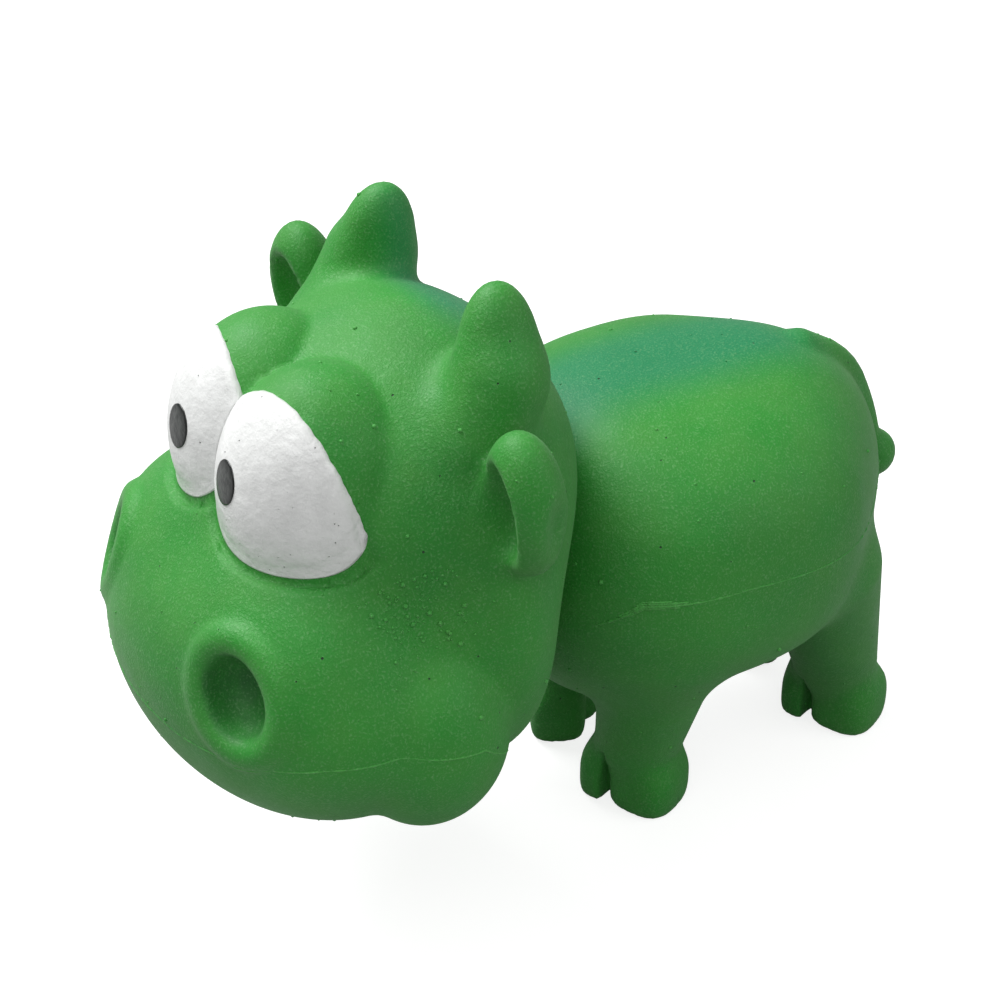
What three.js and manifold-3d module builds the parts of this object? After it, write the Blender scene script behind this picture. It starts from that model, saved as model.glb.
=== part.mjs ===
// Squeaky latex dog toy in the shape of a small green bull.
// Millimetres, +Z up. The toy looks towards -Y and stands on Z = 0.
import * as THREE from 'three';
import { mergeVertices } from 'three/addons/utils/BufferGeometryUtils.js';
import Module from 'manifold-3d';

const wasm = await Module();
wasm.setup();

// Walls and clearances
const wall = 2;
const gap = 0.3;
const seam = 0.7;
const coatClear = 0.6;
const coatInset = 1.4;
const fibreClear = 2.2;
const cutOverrun = 4;

// Torso
const torsoWidth = 72;
const torsoLength = 67;
const torsoHeight = 57;
const torsoLift = 28;
const torsoBack = 23;

// Head
const headWidth = 82;
const headLength = 70;
const headHeight = 86;
const headLift = 25;
const neckOverlap = 22;

// Legs and feet
const wheelbase = 46;
const track = 30;
const legRootHeight = 38;
const ankleHeight = 12.6;
const foreRootRadius = 9.6;
const foreAnkleRadius = 8.8;
const foreRootInset = 3.1;
const hindRootRadius = 10.2;
const hindAnkleRadius = 8.4;
const hindRootInset = 1;
const hindRootForward = 6;
const hindAnkleForward = 2;
const outerToeWidth = 14.8;
const outerToeLength = 16;
const outerToeOffset = 2.2;
const innerToeWidth = 9.2;
const innerToeLength = 12;
const innerToeOffset = -5.6;
const innerToeBack = -2;
const toeHeight = 14;
const toeLift = 5;
const toeOut = THREE.MathUtils.degToRad(26);

// Horns
const hornRootRadius = 9.2;
const hornMidRadius = 6.9;
const hornTipRadius = 3.6;
const hornMidRise = 11;
const hornTipRise = 20.2;
const hornMidOutset = 0.8;
const hornMidLean = 4.7;
const hornTipLean = 6.5;
const hornTipInset = 3.1;

// Ears
const earWidth = 16.4;
const earDepth = 15.2;
const earHeight = 24.4;
const cupWidth = 11.6;
const cupDepth = 16.4;
const cupHeight = 18.4;
const cupForward = 7.2;
const valleyWidth = 9;
const valleyDepth = 7.2;
const valleyHeight = 15;
const valleyOutset = 9.8;
const valleyDrop = 3;

// Eyes and eyelids
const eyeWidth = 31.4;
const eyeDepth = 32.6;
const eyeHeight = 43.2;
const lidThick = 2.2;
const coat = 0.7;
const pupilWidth = 6;
const pupilHeight = 9;

// Nostrils
const nostrilWidth = 13.6;
const nostrilHeight = 17.6;
const nostrilRim = 2.8;
const nostrilPad = 4;
const recessWidth = 9.2;
const recessHeight = 12.8;
const recessDepth = 6.5;

// Tail
const tailRootRadius = 3.7;
const tailBendRadius = 3.5;
const tailDropRadius = 3;
const tailEndRadius = 2.6;
const tuftWidth = 8.6;
const tuftDepth = 9.2;
const tuftHeight = 9.6;

// Squeaker plug in the belly
const plugRadius = 9;
const plugWall = 1.2;
const plugHeight = 11;
const flangeRadius = 12;
const flangeThick = 1.6;
const lipRadius = 10.4;
const lipThick = 1.2;
const ventRadius = 2.2;
const capThick = 1.2;
const spigotDepth = 3;

// Reed and the two halves that clamp it
const seatRadius = 3.6;
const seatLength = 10;
const channelWidth = 2.4;
const channelDepth = 1.6;
const clipLength = 4;
const reedThick = 0.3;
const reedWidth = 3.6;
const reedLength = 9.4;

// Facet sizes
const torsoFacet = 5.6;
const headFacet = 4.5;
const legFacet = 3.4;
const hornFacet = 3;
const earFacet = 2.4;
const tailFacet = 2.2;
const coatFacet = 2.6;
const pupilFacet = 1.8;
const cavityFacet = 8;
const roundSteps = 32;

// Limits of the surface search: the slope below which a form is flat, and shares of a facet
const flatSlope = 0.01;
const insideShare = 0.001;
const probeShare = 0.005;

// Blend radii between the forms
const bodyBlend = 8;
const haunchBlend = 1.5;
const hipBlend = 6;
const toeBlend = 4;
const cleftBlend = 0.3;
const faceBlend = 12;
const skullBlend = 10;
const cheekBlend = 2.5;
const browBlend = 2;
const creaseBlend = 0.6;
const hornBlend = 5;
const hornBendBlend = 4;
const earBlend = 2;
const rimBlend = 1.6;
const padBlend = 2;
const lipBlend = 1;
const tailBlend = 2;
const neckBlend = 1.2;

// Form tables: centre and half sizes as shares of the torso's or the head's own box
const torsoSquareness = 2.5;
const torsoFormShares = {
  barrel: { at: [0, 0.5, 0.493], half: [0.5, 0.5, 0.493] },
  chest: { at: [0, 0.29, 0.42], half: [0.38, 0.33, 0.52] },
  rump: { at: [0, 0.81, 0.49], half: [0.3, 0.33, 0.46] },
  haunch: { at: [0.271, 0.739, 0.281], half: [0.201, 0.202, 0.29] },
};
const headFormShares = {
  skull: { at: [0, 0.7, 0.67], half: [0.395, 0.435, 0.325] },
  nape: { at: [0, 0.765, 0.5], half: [0.478, 0.225, 0.465] },
  muzzle: { at: [0, 0.425, 0.366], half: [0.5, 0.407, 0.308] },
  cheek: { at: [0.348, 0.543, 0.326], half: [0.159, 0.2, 0.198] },
};
const eyeShares = [0.113, 0.471, 0.744];
const lidEdgeShares = [0.152, 0.4, 0.919];
const lidFacing = new THREE.Vector3(-0.2, 0.97, 0.12).normalize();
const pupilShares = [0.1, 0, 0.802];
const earShares = [0.463, 0.757, 0.8];
const earTurn = new THREE.Euler(THREE.MathUtils.degToRad(4), 0, 0);
const hornShares = [0.256, 0.764, 0.866];
const nostrilShares = [0.272, 0.177, 0.465];
const nostrilTurn = new THREE.Euler(...[-8, -12, 22].map(THREE.MathUtils.degToRad), 'ZYX');
const tailRootShares = [0, 0.918, 0.895];
const tailBendShares = [0, 1.063, 0.789];
const tailDropShares = [0, 1.146, 0.605];
const tailEndShares = [0, 1.191, 0.456];
const tuftShares = [0, 1.218, 0.379];

// Distance forms: negative inside, positive outside, about one unit per millimetre
const torsoFront = torsoBack - torsoLength;
const headFront = torsoFront + neckOverlap - wheelbase / 2 - headLength;
const inTorso = ([x, y, z]) => [x * torsoWidth, torsoFront + y * torsoLength, torsoLift + z * torsoHeight];
const inHead = ([x, y, z]) => [x * headWidth, headFront + y * headLength, headLift + z * headHeight];
const torsoHalf = ([x, y, z]) => [x * torsoWidth, y * torsoLength, z * torsoHeight];
const headHalf = ([x, y, z]) => [x * headWidth, y * headLength, z * headHeight];

function lump([cx, cy, cz], [hx, hy, hz]) {
  return (x, y, z) => {
    const [u, v, w] = [(x - cx) / hx, (y - cy) / hy, (z - cz) / hz];
    const reach = Math.hypot(u, v, w);
    const slope = Math.hypot(u / hx, v / hy, w / hz);
    return slope > 0 ? reach * (reach - 1) / slope : -Math.min(hx, hy, hz);
  };
}

function squareLump([cx, cy, cz], [hx, hy, hz], power) {
  return (x, y, z) => {
    const [u, v, w] = [Math.abs(x - cx) / hx, Math.abs(y - cy) / hy, Math.abs(z - cz) / hz];
    const reach = (u ** power + v ** power + w ** power) ** (1 / power);
    if (reach === 0) return -Math.min(hx, hy, hz);
    const part = (t, h) => (t / reach) ** (power - 1) / h;
    return (reach - 1) / Math.hypot(part(u, hx), part(v, hy), part(w, hz));
  };
}

function limb(from, to, fromRadius, toRadius) {
  const run = to.map((value, i) => value - from[i]);
  const runSquared = run[0] ** 2 + run[1] ** 2 + run[2] ** 2;
  return (x, y, z) => {
    const [px, py, pz] = [x - from[0], y - from[1], z - from[2]];
    const along = (px * run[0] + py * run[1] + pz * run[2]) / runSquared;
    const t = Math.min(1, Math.max(0, along));
    const away = Math.hypot(px - t * run[0], py - t * run[1], pz - t * run[2]);
    return away - (fromRadius + t * (toRadius - fromRadius));
  };
}

function ringForm(halfWidth, halfHeight, radius) {
  return (x, y, z) => {
    const angle = Math.atan2(z / halfHeight, x / halfWidth);
    return Math.hypot(x - halfWidth * Math.cos(angle), y, z - halfHeight * Math.sin(angle)) - radius;
  };
}

function turnedForm(form, at, turn) {
  const e = new THREE.Matrix4().makeRotationFromEuler(turn).elements;
  return (x, y, z) => {
    const [px, py, pz] = [x - at[0], y - at[1], z - at[2]];
    return form(
      e[0] * px + e[1] * py + e[2] * pz,
      e[4] * px + e[5] * py + e[6] * pz,
      e[8] * px + e[9] * py + e[10] * pz,
    );
  };
}

function joinSmooth(a, b, radius) {
  const near = Math.max(radius - Math.abs(a - b), 0);
  return Math.min(a, b) - near * near / (4 * radius);
}

const cutSmooth = (a, b, radius) => -joinSmooth(-a, b, radius);

// Torso form: barrel, chest and rump, with a haunch over each hind leg
const torsoLump = (name) => lump(inTorso(torsoFormShares[name].at), torsoHalf(torsoFormShares[name].half));
const barrelShares = torsoFormShares.barrel;
const barrelForm = squareLump(inTorso(barrelShares.at), torsoHalf(barrelShares.half), torsoSquareness);
const chestForm = torsoLump('chest');
const rumpForm = torsoLump('rump');
const haunchForm = torsoLump('haunch');
const torsoForm = (x, y, z) => {
  const front = joinSmooth(barrelForm(x, y, z), chestForm(x, y, z), bodyBlend);
  const whole = joinSmooth(front, rumpForm(x, y, z), bodyBlend);
  return joinSmooth(whole, haunchForm(x, y, z), haunchBlend);
};

// Leg forms: tapering limbs on cloven feet that are turned out
const outerToe = lump([outerToeOffset, 0, toeLift], [outerToeWidth / 2, outerToeLength / 2, toeHeight / 2]);
const innerMiddle = [innerToeOffset, innerToeBack, toeLift];
const innerToe = lump(innerMiddle, [innerToeWidth / 2, innerToeLength / 2, toeHeight / 2]);
const toesForm = (x, y, z) => joinSmooth(outerToe(x, y, z), innerToe(x, y, z), cleftBlend);

function legForm(footY, root, ankle, rootRadius, ankleRadius) {
  const stem = limb(root, ankle, rootRadius, ankleRadius);
  const foot = turnedForm(toesForm, [track / 2, footY, 0], new THREE.Euler(0, 0, toeOut));
  return (x, y, z) => joinSmooth(stem(x, y, z), foot(x, y, z), toeBlend);
}
const foreY = -wheelbase / 2;
const foreRoot = [track / 2 - foreRootInset, foreY, legRootHeight];
const foreAnkle = [track / 2, foreY, ankleHeight];
const foreLegForm = legForm(foreY, foreRoot, foreAnkle, foreRootRadius, foreAnkleRadius);
const hindY = wheelbase / 2;
const hindRoot = [track / 2 - hindRootInset, hindY - hindRootForward, legRootHeight];
const hindAnkle = [track / 2, hindY - hindAnkleForward, ankleHeight];
const hindLegForm = legForm(hindY, hindRoot, hindAnkle, hindRootRadius, hindAnkleRadius);

// Tail form: a relief rope that runs down the rump to its tuft
const tailRoot = inTorso(tailRootShares);
const tailBend = inTorso(tailBendShares);
const tailDrop = inTorso(tailDropShares);
const tailEnd = inTorso(tailEndShares);
const tailUpper = limb(tailRoot, tailBend, tailRootRadius, tailBendRadius);
const tailMiddle = limb(tailBend, tailDrop, tailBendRadius, tailDropRadius);
const tailLower = limb(tailDrop, tailEnd, tailDropRadius, tailEndRadius);
const tuftForm = lump(inTorso(tuftShares), [tuftWidth / 2, tuftDepth / 2, tuftHeight / 2]);
const tailForm = (x, y, z) => {
  const upper = joinSmooth(tailUpper(x, y, z), tailMiddle(x, y, z), tailBlend);
  const rope = joinSmooth(upper, tailLower(x, y, z), tailBlend);
  return joinSmooth(rope, tuftForm(x, y, z), tailBlend);
};

// Head form: skull, nape, muzzle and the bulge at the corner of the mouth
const headLump = (name) => lump(inHead(headFormShares[name].at), headHalf(headFormShares[name].half));
const skullForm = headLump('skull');
const napeForm = headLump('nape');
const muzzleForm = headLump('muzzle');
const cheekForm = headLump('cheek');

const faceForm = (x, y, z) => {
  const dome = joinSmooth(skullForm(x, y, z), napeForm(x, y, z), skullBlend);
  const face = joinSmooth(dome, muzzleForm(x, y, z), faceBlend);
  return joinSmooth(face, cheekForm(x, y, z), cheekBlend);
};

// Eye and lid forms: each lid is the eyeball grown a little and cut off by a leaning plane
const eyeAt = inHead(eyeShares);
const eyeHalf = [eyeWidth / 2, eyeDepth / 2, eyeHeight / 2];
const eyeForm = lump(eyeAt, eyeHalf);
const lidBall = lump(eyeAt, eyeHalf.map((half) => half + lidThick));
const lidEdge = new THREE.Vector3(...inHead(lidEdgeShares)).dot(lidFacing);
const lidSide = (x, y, z) => lidEdge - x * lidFacing.x - y * lidFacing.y - z * lidFacing.z;
const lidForm = (x, y, z) => cutSmooth(lidBall(x, y, z), -lidSide(x, y, z), lidThick);

// Nostril forms: an oval rim on a pad, with a deep recess
const nostrilAt = inHead(nostrilShares);
const nostrilRing = ringForm(nostrilWidth / 2, nostrilHeight / 2, nostrilRim);
const padHalf = [nostrilWidth / 2, nostrilPad, nostrilHeight / 2].map((half) => half + lipBlend);
const padForm = lump([0, nostrilPad / 2, 0], padHalf);
const rimShape = (x, y, z) => joinSmooth(nostrilRing(x, y, z), padForm(x, y, z), padBlend);
const rimForm = turnedForm(rimShape, nostrilAt, nostrilTurn);
const recessShape = lump([0, -recessDepth / 2, 0], [recessWidth / 2, recessDepth, recessHeight / 2]);
const recessForm = turnedForm(recessShape, nostrilAt, nostrilTurn);

const headForm = (x, y, z) => {
  const eyes = joinSmooth(lidForm(x, y, z), eyeForm(x, y, z) + coat + coatClear, creaseBlend);
  const brows = joinSmooth(faceForm(x, y, z), eyes, browBlend);
  const rims = joinSmooth(brows, rimForm(x, y, z), rimBlend);
  return cutSmooth(rims, recessForm(x, y, z), lipBlend);
};

// Horn forms
const hornRoot = inHead(hornShares);
const hornMid = [hornRoot[0] + hornMidOutset, hornRoot[1] + hornMidLean, hornRoot[2] + hornMidRise];
const hornTip = [hornRoot[0] - hornTipInset, hornRoot[1] + hornTipLean, hornRoot[2] + hornTipRise];
const hornLower = limb(hornRoot, hornMid, hornRootRadius, hornMidRadius);
const hornUpper = limb(hornMid, hornTip, hornMidRadius, hornTipRadius);
const hornForm = (x, y, z) => joinSmooth(hornLower(x, y, z), hornUpper(x, y, z), hornBendBlend);

// Ear form: a cupped flap that opens forward, with a shallow valley behind its rim
const earAt = inHead(earShares);
const earShell = lump([0, 0, 0], [earWidth / 2, earDepth / 2, earHeight / 2]);
const earCup = lump([0, -cupForward, 0], [cupWidth / 2, cupDepth / 2, cupHeight / 2]);
const valleyHalf = [valleyWidth / 2, valleyDepth / 2, valleyHeight / 2];
const earValley = lump([valleyOutset, valleyDepth / 2, -valleyDrop], valleyHalf);
const earShape = (x, y, z) => {
  const cupped = cutSmooth(earShell(x, y, z), earCup(x, y, z), earBlend);
  return cutSmooth(cupped, earValley(x, y, z), earBlend);
};
const earForm = turnedForm(earShape, earAt, earTurn);

// The whole outer skin, and which piece owns each point of it
const pieces = {
  torso: torsoForm,
  head: headForm,
  fore_leg: foreLegForm,
  hind_leg: hindLegForm,
  horn: hornForm,
  ear: earForm,
  tail: tailForm,
};

function uncutSkin(x, y, z) {
  const side = Math.abs(x);
  const legs = Math.min(foreLegForm(side, y, z), hindLegForm(side, y, z));
  const body = joinSmooth(joinSmooth(torsoForm(side, y, z), legs, hipBlend), tailForm(side, y, z), tailBlend);
  const horned = joinSmooth(headForm(side, y, z), hornForm(side, y, z), hornBlend);
  const eared = joinSmooth(horned, earForm(side, y, z), earBlend);
  return joinSmooth(body, eared, neckBlend);
}

const underFloor = (x, y, z) => -z;
const skin = (x, y, z) => Math.max(uncutSkin(x, y, z), underFloor(x, y, z));

function border(name) {
  const others = Object.keys(pieces).filter((key) => key !== name).map((key) => pieces[key]);
  return (x, y, z) => {
    const side = Math.abs(x);
    let nearest = Infinity;
    for (const other of others) nearest = Math.min(nearest, other(side, y, z));
    return pieces[name](side, y, z) - nearest + seam;
  };
}

// Room for a fine piece in its coarser neighbour
function roomForms(name) {
  const owned = border(name);
  return [(x, y, z) => skin(x, y, z) - seam, (x, y, z) => owned(x, y, z) - seam];
}

// Surface of one or more forms inside a box, with sharp edges kept where two forms meet
function surfaceOf(forms, low, high, facet) {
  const start = low.map((value) => (Math.round(value / facet) - 1) * facet);
  const counts = start.map((value, i) => Math.round(high[i] / facet) + 2 - Math.round(value / facet));
  const [nx, ny, nz] = counts;
  const index = (i, j, k) => (k * ny + j) * nx + i;
  const height = (x, y, z) => {
    let top = -Infinity;
    for (const form of forms) top = Math.max(top, form(x, y, z));
    return top;
  };
  const values = new Float64Array(nx * ny * nz);
  for (let k = 0; k < nz; k += 1) {
    for (let j = 0; j < ny; j += 1) {
      for (let i = 0; i < nx; i += 1) {
        const rim = i === 0 || j === 0 || k === 0 || i === nx - 1 || j === ny - 1 || k === nz - 1;
        const value = height(start[0] + i * facet, start[1] + j * facet, start[2] + k * facet);
        values[index(i, j, k)] = rim ? Math.max(value, facet) : value;
      }
    }
  }
  fillDiagonals(values, counts, index, facet);
  const points = [];
  const cellPoint = new Map();
  const corners = [];
  for (let n = 0; n < 8; n += 1) corners.push([n & 1, (n >> 1) & 1, (n >> 2) & 1]);
  for (let k = 0; k < nz - 1; k += 1) {
    for (let j = 0; j < ny - 1; j += 1) {
      for (let i = 0; i < nx - 1; i += 1) {
        const point = placePoint(i, j, k);
        if (point) {
          cellPoint.set(index(i, j, k), points.length / 3);
          points.push(...point);
        }
      }
    }
  }

  function placePoint(i, j, k) {
    const sum = [0, 0, 0];
    const owners = new Set();
    let crossings = 0;
    for (let a = 0; a < 8; a += 1) {
      for (let axis = 0; axis < 3; axis += 1) {
        const b = a | (1 << axis);
        if (b === a) continue;
        const [pa, pb] = [corners[a], corners[b]];
        const va = values[index(i + pa[0], j + pa[1], k + pa[2])];
        const vb = values[index(i + pb[0], j + pb[1], k + pb[2])];
        if (va < 0 === vb < 0) continue;
        const t = va / (va - vb);
        const at = [0, 1, 2].map((c) => start[c] + ([i, j, k][c] + pa[c] + t * (pb[c] - pa[c])) * facet);
        at.forEach((value, c) => { sum[c] += value; });
        owners.add(ownerAt(at));
        crossings += 1;
      }
    }
    if (!crossings) return null;
    const first = sum.map((value) => value / crossings);
    return settle(first, [...owners].sort((m, n) => m - n));
  }

  function ownerAt([x, y, z]) {
    let best = 0;
    for (let n = 1; n < forms.length; n += 1) {
      if (forms[n](x, y, z) > forms[best](x, y, z)) best = n;
    }
    return best;
  }

  function slopeOf(form, [x, y, z]) {
    const h = facet * probeShare;
    return [
      (form(x + h, y, z) - form(x - h, y, z)) / (2 * h),
      (form(x, y + h, z) - form(x, y - h, z)) / (2 * h),
      (form(x, y, z + h) - form(x, y, z - h)) / (2 * h),
    ];
  }

  function settle(first, owners) {
    let point = first;
    for (let round = 0; round < 6; round += 1) {
      for (const owner of owners) {
        const value = forms[owner](...point);
        const slope = slopeOf(forms[owner], point);
        const steep = slope[0] ** 2 + slope[1] ** 2 + slope[2] ** 2;
        if (steep < flatSlope) continue;
        const step = Math.max(-facet / 2, Math.min(facet / 2, value / steep));
        point = point.map((coordinate, c) => coordinate - step * slope[c]);
      }
    }
    return point.map((coordinate, c) => Math.max(first[c] - facet, Math.min(first[c] + facet, coordinate)));
  }

  const triangles = [];
  const distance = (a, b) => Math.hypot(...[0, 1, 2].map((c) => points[a * 3 + c] - points[b * 3 + c]));
  const steps = [[1, 0, 0], [0, 1, 0], [0, 0, 1]];
  for (let k = 0; k < nz - 1; k += 1) {
    for (let j = 0; j < ny - 1; j += 1) {
      for (let i = 0; i < nx - 1; i += 1) {
        for (let axis = 0; axis < 3; axis += 1) {
          const here = values[index(i, j, k)] < 0;
          const [dx, dy, dz] = steps[axis];
          const there = values[index(i + dx, j + dy, k + dz)] < 0;
          if (here === there) continue;
          const [ux, uy, uz] = steps[(axis + 1) % 3];
          const [vx, vy, vz] = steps[(axis + 2) % 3];
          const ring = [
            cellPoint.get(index(i - ux - vx, j - uy - vy, k - uz - vz)),
            cellPoint.get(index(i - vx, j - vy, k - vz)),
            cellPoint.get(index(i, j, k)),
            cellPoint.get(index(i - ux, j - uy, k - uz)),
          ];
          if (!here) ring.reverse();
          const [a, b, c, d] = ring;
          if (distance(a, c) < distance(b, d)) triangles.push(a, b, c, a, c, d);
          else triangles.push(a, b, d, b, c, d);
        }
      }
    }
  }
  const geometry = new THREE.BufferGeometry();
  geometry.setAttribute('position', new THREE.Float32BufferAttribute(points, 3));
  geometry.setIndex(triangles);
  return geometry;
}

// A grid square whose corners alternate gets one more corner inside, so that no two faces share an edge twice
function fillDiagonals(values, [nx, ny, nz], index, facet) {
  const inside = -facet * insideShare;
  let changed = true;
  while (changed) {
    changed = false;
    for (let k = 0; k < nz - 1; k += 1) {
      for (let j = 0; j < ny - 1; j += 1) {
        for (let i = 0; i < nx - 1; i += 1) {
          const squares = [
            [index(i, j, k), index(i + 1, j, k), index(i + 1, j + 1, k), index(i, j + 1, k)],
            [index(i, j, k), index(i + 1, j, k), index(i + 1, j, k + 1), index(i, j, k + 1)],
            [index(i, j, k), index(i, j + 1, k), index(i, j + 1, k + 1), index(i, j, k + 1)],
          ];
          for (const square of squares) {
            const signs = square.map((n) => values[n] < 0);
            if (signs[0] !== signs[2] || signs[1] !== signs[3] || signs[0] === signs[1]) continue;
            const outside = square.filter((n) => values[n] >= 0).sort((m, n) => values[m] - values[n]);
            values[outside[0]] = inside;
            changed = true;
          }
        }
      }
    }
  }
}

// Solids for joining and cutting
function toSolid(geometry) {
  return new wasm.Manifold(new wasm.Mesh({
    numProp: 3,
    vertProperties: new Float32Array(geometry.attributes.position.array),
    triVerts: new Uint32Array(geometry.index.array),
  }));
}

function toGeometry(solid) {
  const mesh = solid.getMesh();
  const geometry = new THREE.BufferGeometry();
  const stride = mesh.numProp;
  const places = [];
  for (let n = 0; n < mesh.vertProperties.length; n += stride) {
    places.push(mesh.vertProperties[n], mesh.vertProperties[n + 1], mesh.vertProperties[n + 2]);
  }
  geometry.setAttribute('position', new THREE.Float32BufferAttribute(places, 3));
  geometry.setIndex([...mesh.triVerts]);
  return geometry;
}

function merged(geometry) {
  const bare = geometry.clone();
  bare.deleteAttribute('normal');
  bare.deleteAttribute('uv');
  return mergeVertices(bare);
}

function turned(profile) {
  const outline = profile.map(([radius, height]) => new THREE.Vector2(radius, height));
  return merged(new THREE.LatheGeometry(outline, roundSteps).rotateX(Math.PI / 2));
}

// Materials
function look(name, color, roughness, metalness) {
  return new THREE.MeshStandardMaterial({ name, color, roughness, metalness });
}

const materials = {
  latex: look('latex', 0x3f9a3c, 0.8, 0),
  white: look('eye_white', 0xe9eae8, 0.45, 0),
  black: look('pupil', 0x2b2d2b, 0.35, 0),
  fibre: look('fibre', 0xf0efe9, 1, 0),
  plastic: look('squeaker', 0xe6e4da, 0.5, 0),
  brass: look('reed', 0xc9a557, 0.35, 1),
};

const toy = new THREE.Group();

function place(name, geometry, material) {
  const mesh = new THREE.Mesh(geometry, material.clone());
  mesh.name = name;
  toy.add(mesh);
}

function mirrored(geometry) {
  const copy = geometry.clone().scale(-1, 1, 1);
  const flipped = [...copy.index.array];
  for (let n = 0; n < flipped.length; n += 3) [flipped[n], flipped[n + 1]] = [flipped[n + 1], flipped[n]];
  copy.setIndex(flipped);
  return copy;
}

function placePair(name, geometry, material) {
  place(`${name}_left`, geometry, material);
  place(`${name}_right`, mirrored(geometry), material);
}

// Boxes that hold each form
const halfBox = Math.max(headWidth / 2, torsoWidth / 2, earAt[0] + earWidth / 2) + cutOverrun;
const headTop = headLift + headHeight + cutOverrun;
const hindmost = inTorso(tuftShares)[1] + tuftDepth / 2;
const wholeLow = [-halfBox, headFront - nostrilRim - cutOverrun, -cutOverrun];
const wholeHigh = [halfBox, hindmost + cutOverrun, hornTip[2] + hornTipRadius + cutOverrun];

// Hollow of the skin, one cavity that runs through head, torso and legs
const cavityForm = (inset) => (x, y, z) => skin(x, y, z) + inset;
const cavity = toSolid(surfaceOf([cavityForm(wall)], wholeLow, wholeHigh, cavityFacet));

// Squeaker seat in the belly, midway between the legs
const bellyLevel = beneath(0, 0);
const seatLevel = bellyLevel + flangeThick / 2;
const floorLevel = seatLevel + wall;

function beneath(x, y) {
  let z = 0;
  while (skin(x, y, z) > 0) z += gap;
  return z;
}

function disc(radius, from, to) {
  return toSolid(turned([[0, from], [radius, from], [radius, to], [0, to]]));
}

const plugHole = disc(plugRadius + gap, -cutOverrun, floorLevel + plugHeight);
const flangeRecess = disc(flangeRadius + gap, -cutOverrun, seatLevel);
const lipPocket = disc(lipRadius + gap, floorLevel, floorLevel + lipThick + 2 * gap);
const plugCut = plugHole.add(flangeRecess).add(lipPocket);
const boss = disc(flangeRadius + 2 * wall, seatLevel, floorLevel);

// Tail, and the torso with room for it and for the head
const tailLow = [-tuftWidth, tailRoot[1] - 2 * tailRootRadius, torsoLift];
const tailHigh = [tuftWidth, wholeHigh[1], torsoLift + torsoHeight + cutOverrun];
const tailSkin = surfaceOf([skin, border('tail')], tailLow, tailHigh, tailFacet);
place('tail', tailSkin, materials.latex);

const tailRoom = toSolid(surfaceOf(roomForms('tail'), tailLow, tailHigh, tailFacet));
const headLow = [-halfBox, wholeLow[1], 0];
const headHigh = [halfBox, 0, headTop];
const headRoom = toSolid(surfaceOf(roomForms('head'), headLow, headHigh, headFacet));
const torsoSkin = toSolid(surfaceOf([skin, border('torso')], wholeLow, wholeHigh, torsoFacet));
const hollow = cavity.subtract(boss);
const torsoHollow = torsoSkin.subtract(hollow).subtract(tailRoom).subtract(headRoom);
place('torso_skin', toGeometry(torsoHollow.subtract(plugCut)), materials.latex);

// Eye paint: a coat over the eyeball where the lid leaves it bare, and its room in the head
const eyeLow = [0, eyeAt[1] - eyeDepth, eyeAt[2] - eyeHeight];
const eyeHigh = [eyeAt[0] + eyeWidth, eyeAt[1] + eyeDepth, eyeAt[2] + eyeHeight];
const bareEye = (x, y, z) => Math.max(
  coatInset - lidForm(x, y, z),
  coatInset - faceForm(x, y, z),
  gap - x,
);

function eyeShell(outward, inward, sideways) {
  const outer = [(x, y, z) => eyeForm(x, y, z) - outward, (x, y, z) => bareEye(x, y, z) - sideways];
  const inner = [(x, y, z) => eyeForm(x, y, z) + inward];
  const core = toSolid(surfaceOf(inner, eyeLow, eyeHigh, coatFacet));
  return toGeometry(toSolid(surfaceOf(outer, eyeLow, eyeHigh, coatFacet)).subtract(core));
}

placePair('eye_white', eyeShell(0, coat, 0), materials.white);
const eyeRoom = eyeShell(lidThick + gap, coat + gap, coatClear);
const eyeRooms = toSolid(eyeRoom).add(toSolid(mirrored(eyeRoom)));

// Head, with room for the ears and the eye paint
const earLow = [earAt[0] - earWidth, earAt[1] - earDepth, earAt[2] - earHeight];
const earHigh = [earAt[0] + earWidth, earAt[1] + earDepth, earAt[2] + earHeight];
const earRoom = surfaceOf(roomForms('ear'), earLow, earHigh, earFacet);
const earRooms = toSolid(earRoom).add(toSolid(mirrored(earRoom)));
const headSkin = toSolid(surfaceOf([skin, border('head')], headLow, headHigh, headFacet));
const headHollow = headSkin.subtract(cavity).subtract(earRooms).subtract(eyeRooms);
place('head_skin', toGeometry(headHollow), materials.latex);

// Legs
const foreForms = [uncutSkin, border('fore_leg'), underFloor];
const foreLow = [0, -wheelbase, -cutOverrun];
const foreHigh = [halfBox, 0, torsoLift + torsoHeight];
const foreLegSkin = toSolid(surfaceOf(foreForms, foreLow, foreHigh, legFacet));
placePair('fore_leg', toGeometry(foreLegSkin.subtract(cavity).subtract(plugCut)), materials.latex);

const hindForms = [uncutSkin, border('hind_leg'), underFloor];
const hindLow = [0, 0, -cutOverrun];
const hindHigh = [halfBox, wheelbase, torsoLift + torsoHeight];
const hindLegSkin = toSolid(surfaceOf(hindForms, hindLow, hindHigh, legFacet));
placePair('hind_leg', toGeometry(hindLegSkin.subtract(cavity).subtract(plugCut)), materials.latex);

// Horns and ears
const hornBoxLow = [0, hornRoot[1] - hornRootRadius - cutOverrun, hornRoot[2] - hornRootRadius];
const hornBoxHigh = [halfBox, hornTip[1] + hornRootRadius + cutOverrun, wholeHigh[2]];
const hornSkin = toSolid(surfaceOf([skin, border('horn')], hornBoxLow, hornBoxHigh, hornFacet));
placePair('horn', toGeometry(hornSkin.subtract(cavity)), materials.latex);

const earSkin = toSolid(surfaceOf([skin, border('ear')], earLow, earHigh, earFacet));
placePair('ear', toGeometry(earSkin.subtract(cavity)), materials.latex);

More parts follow.
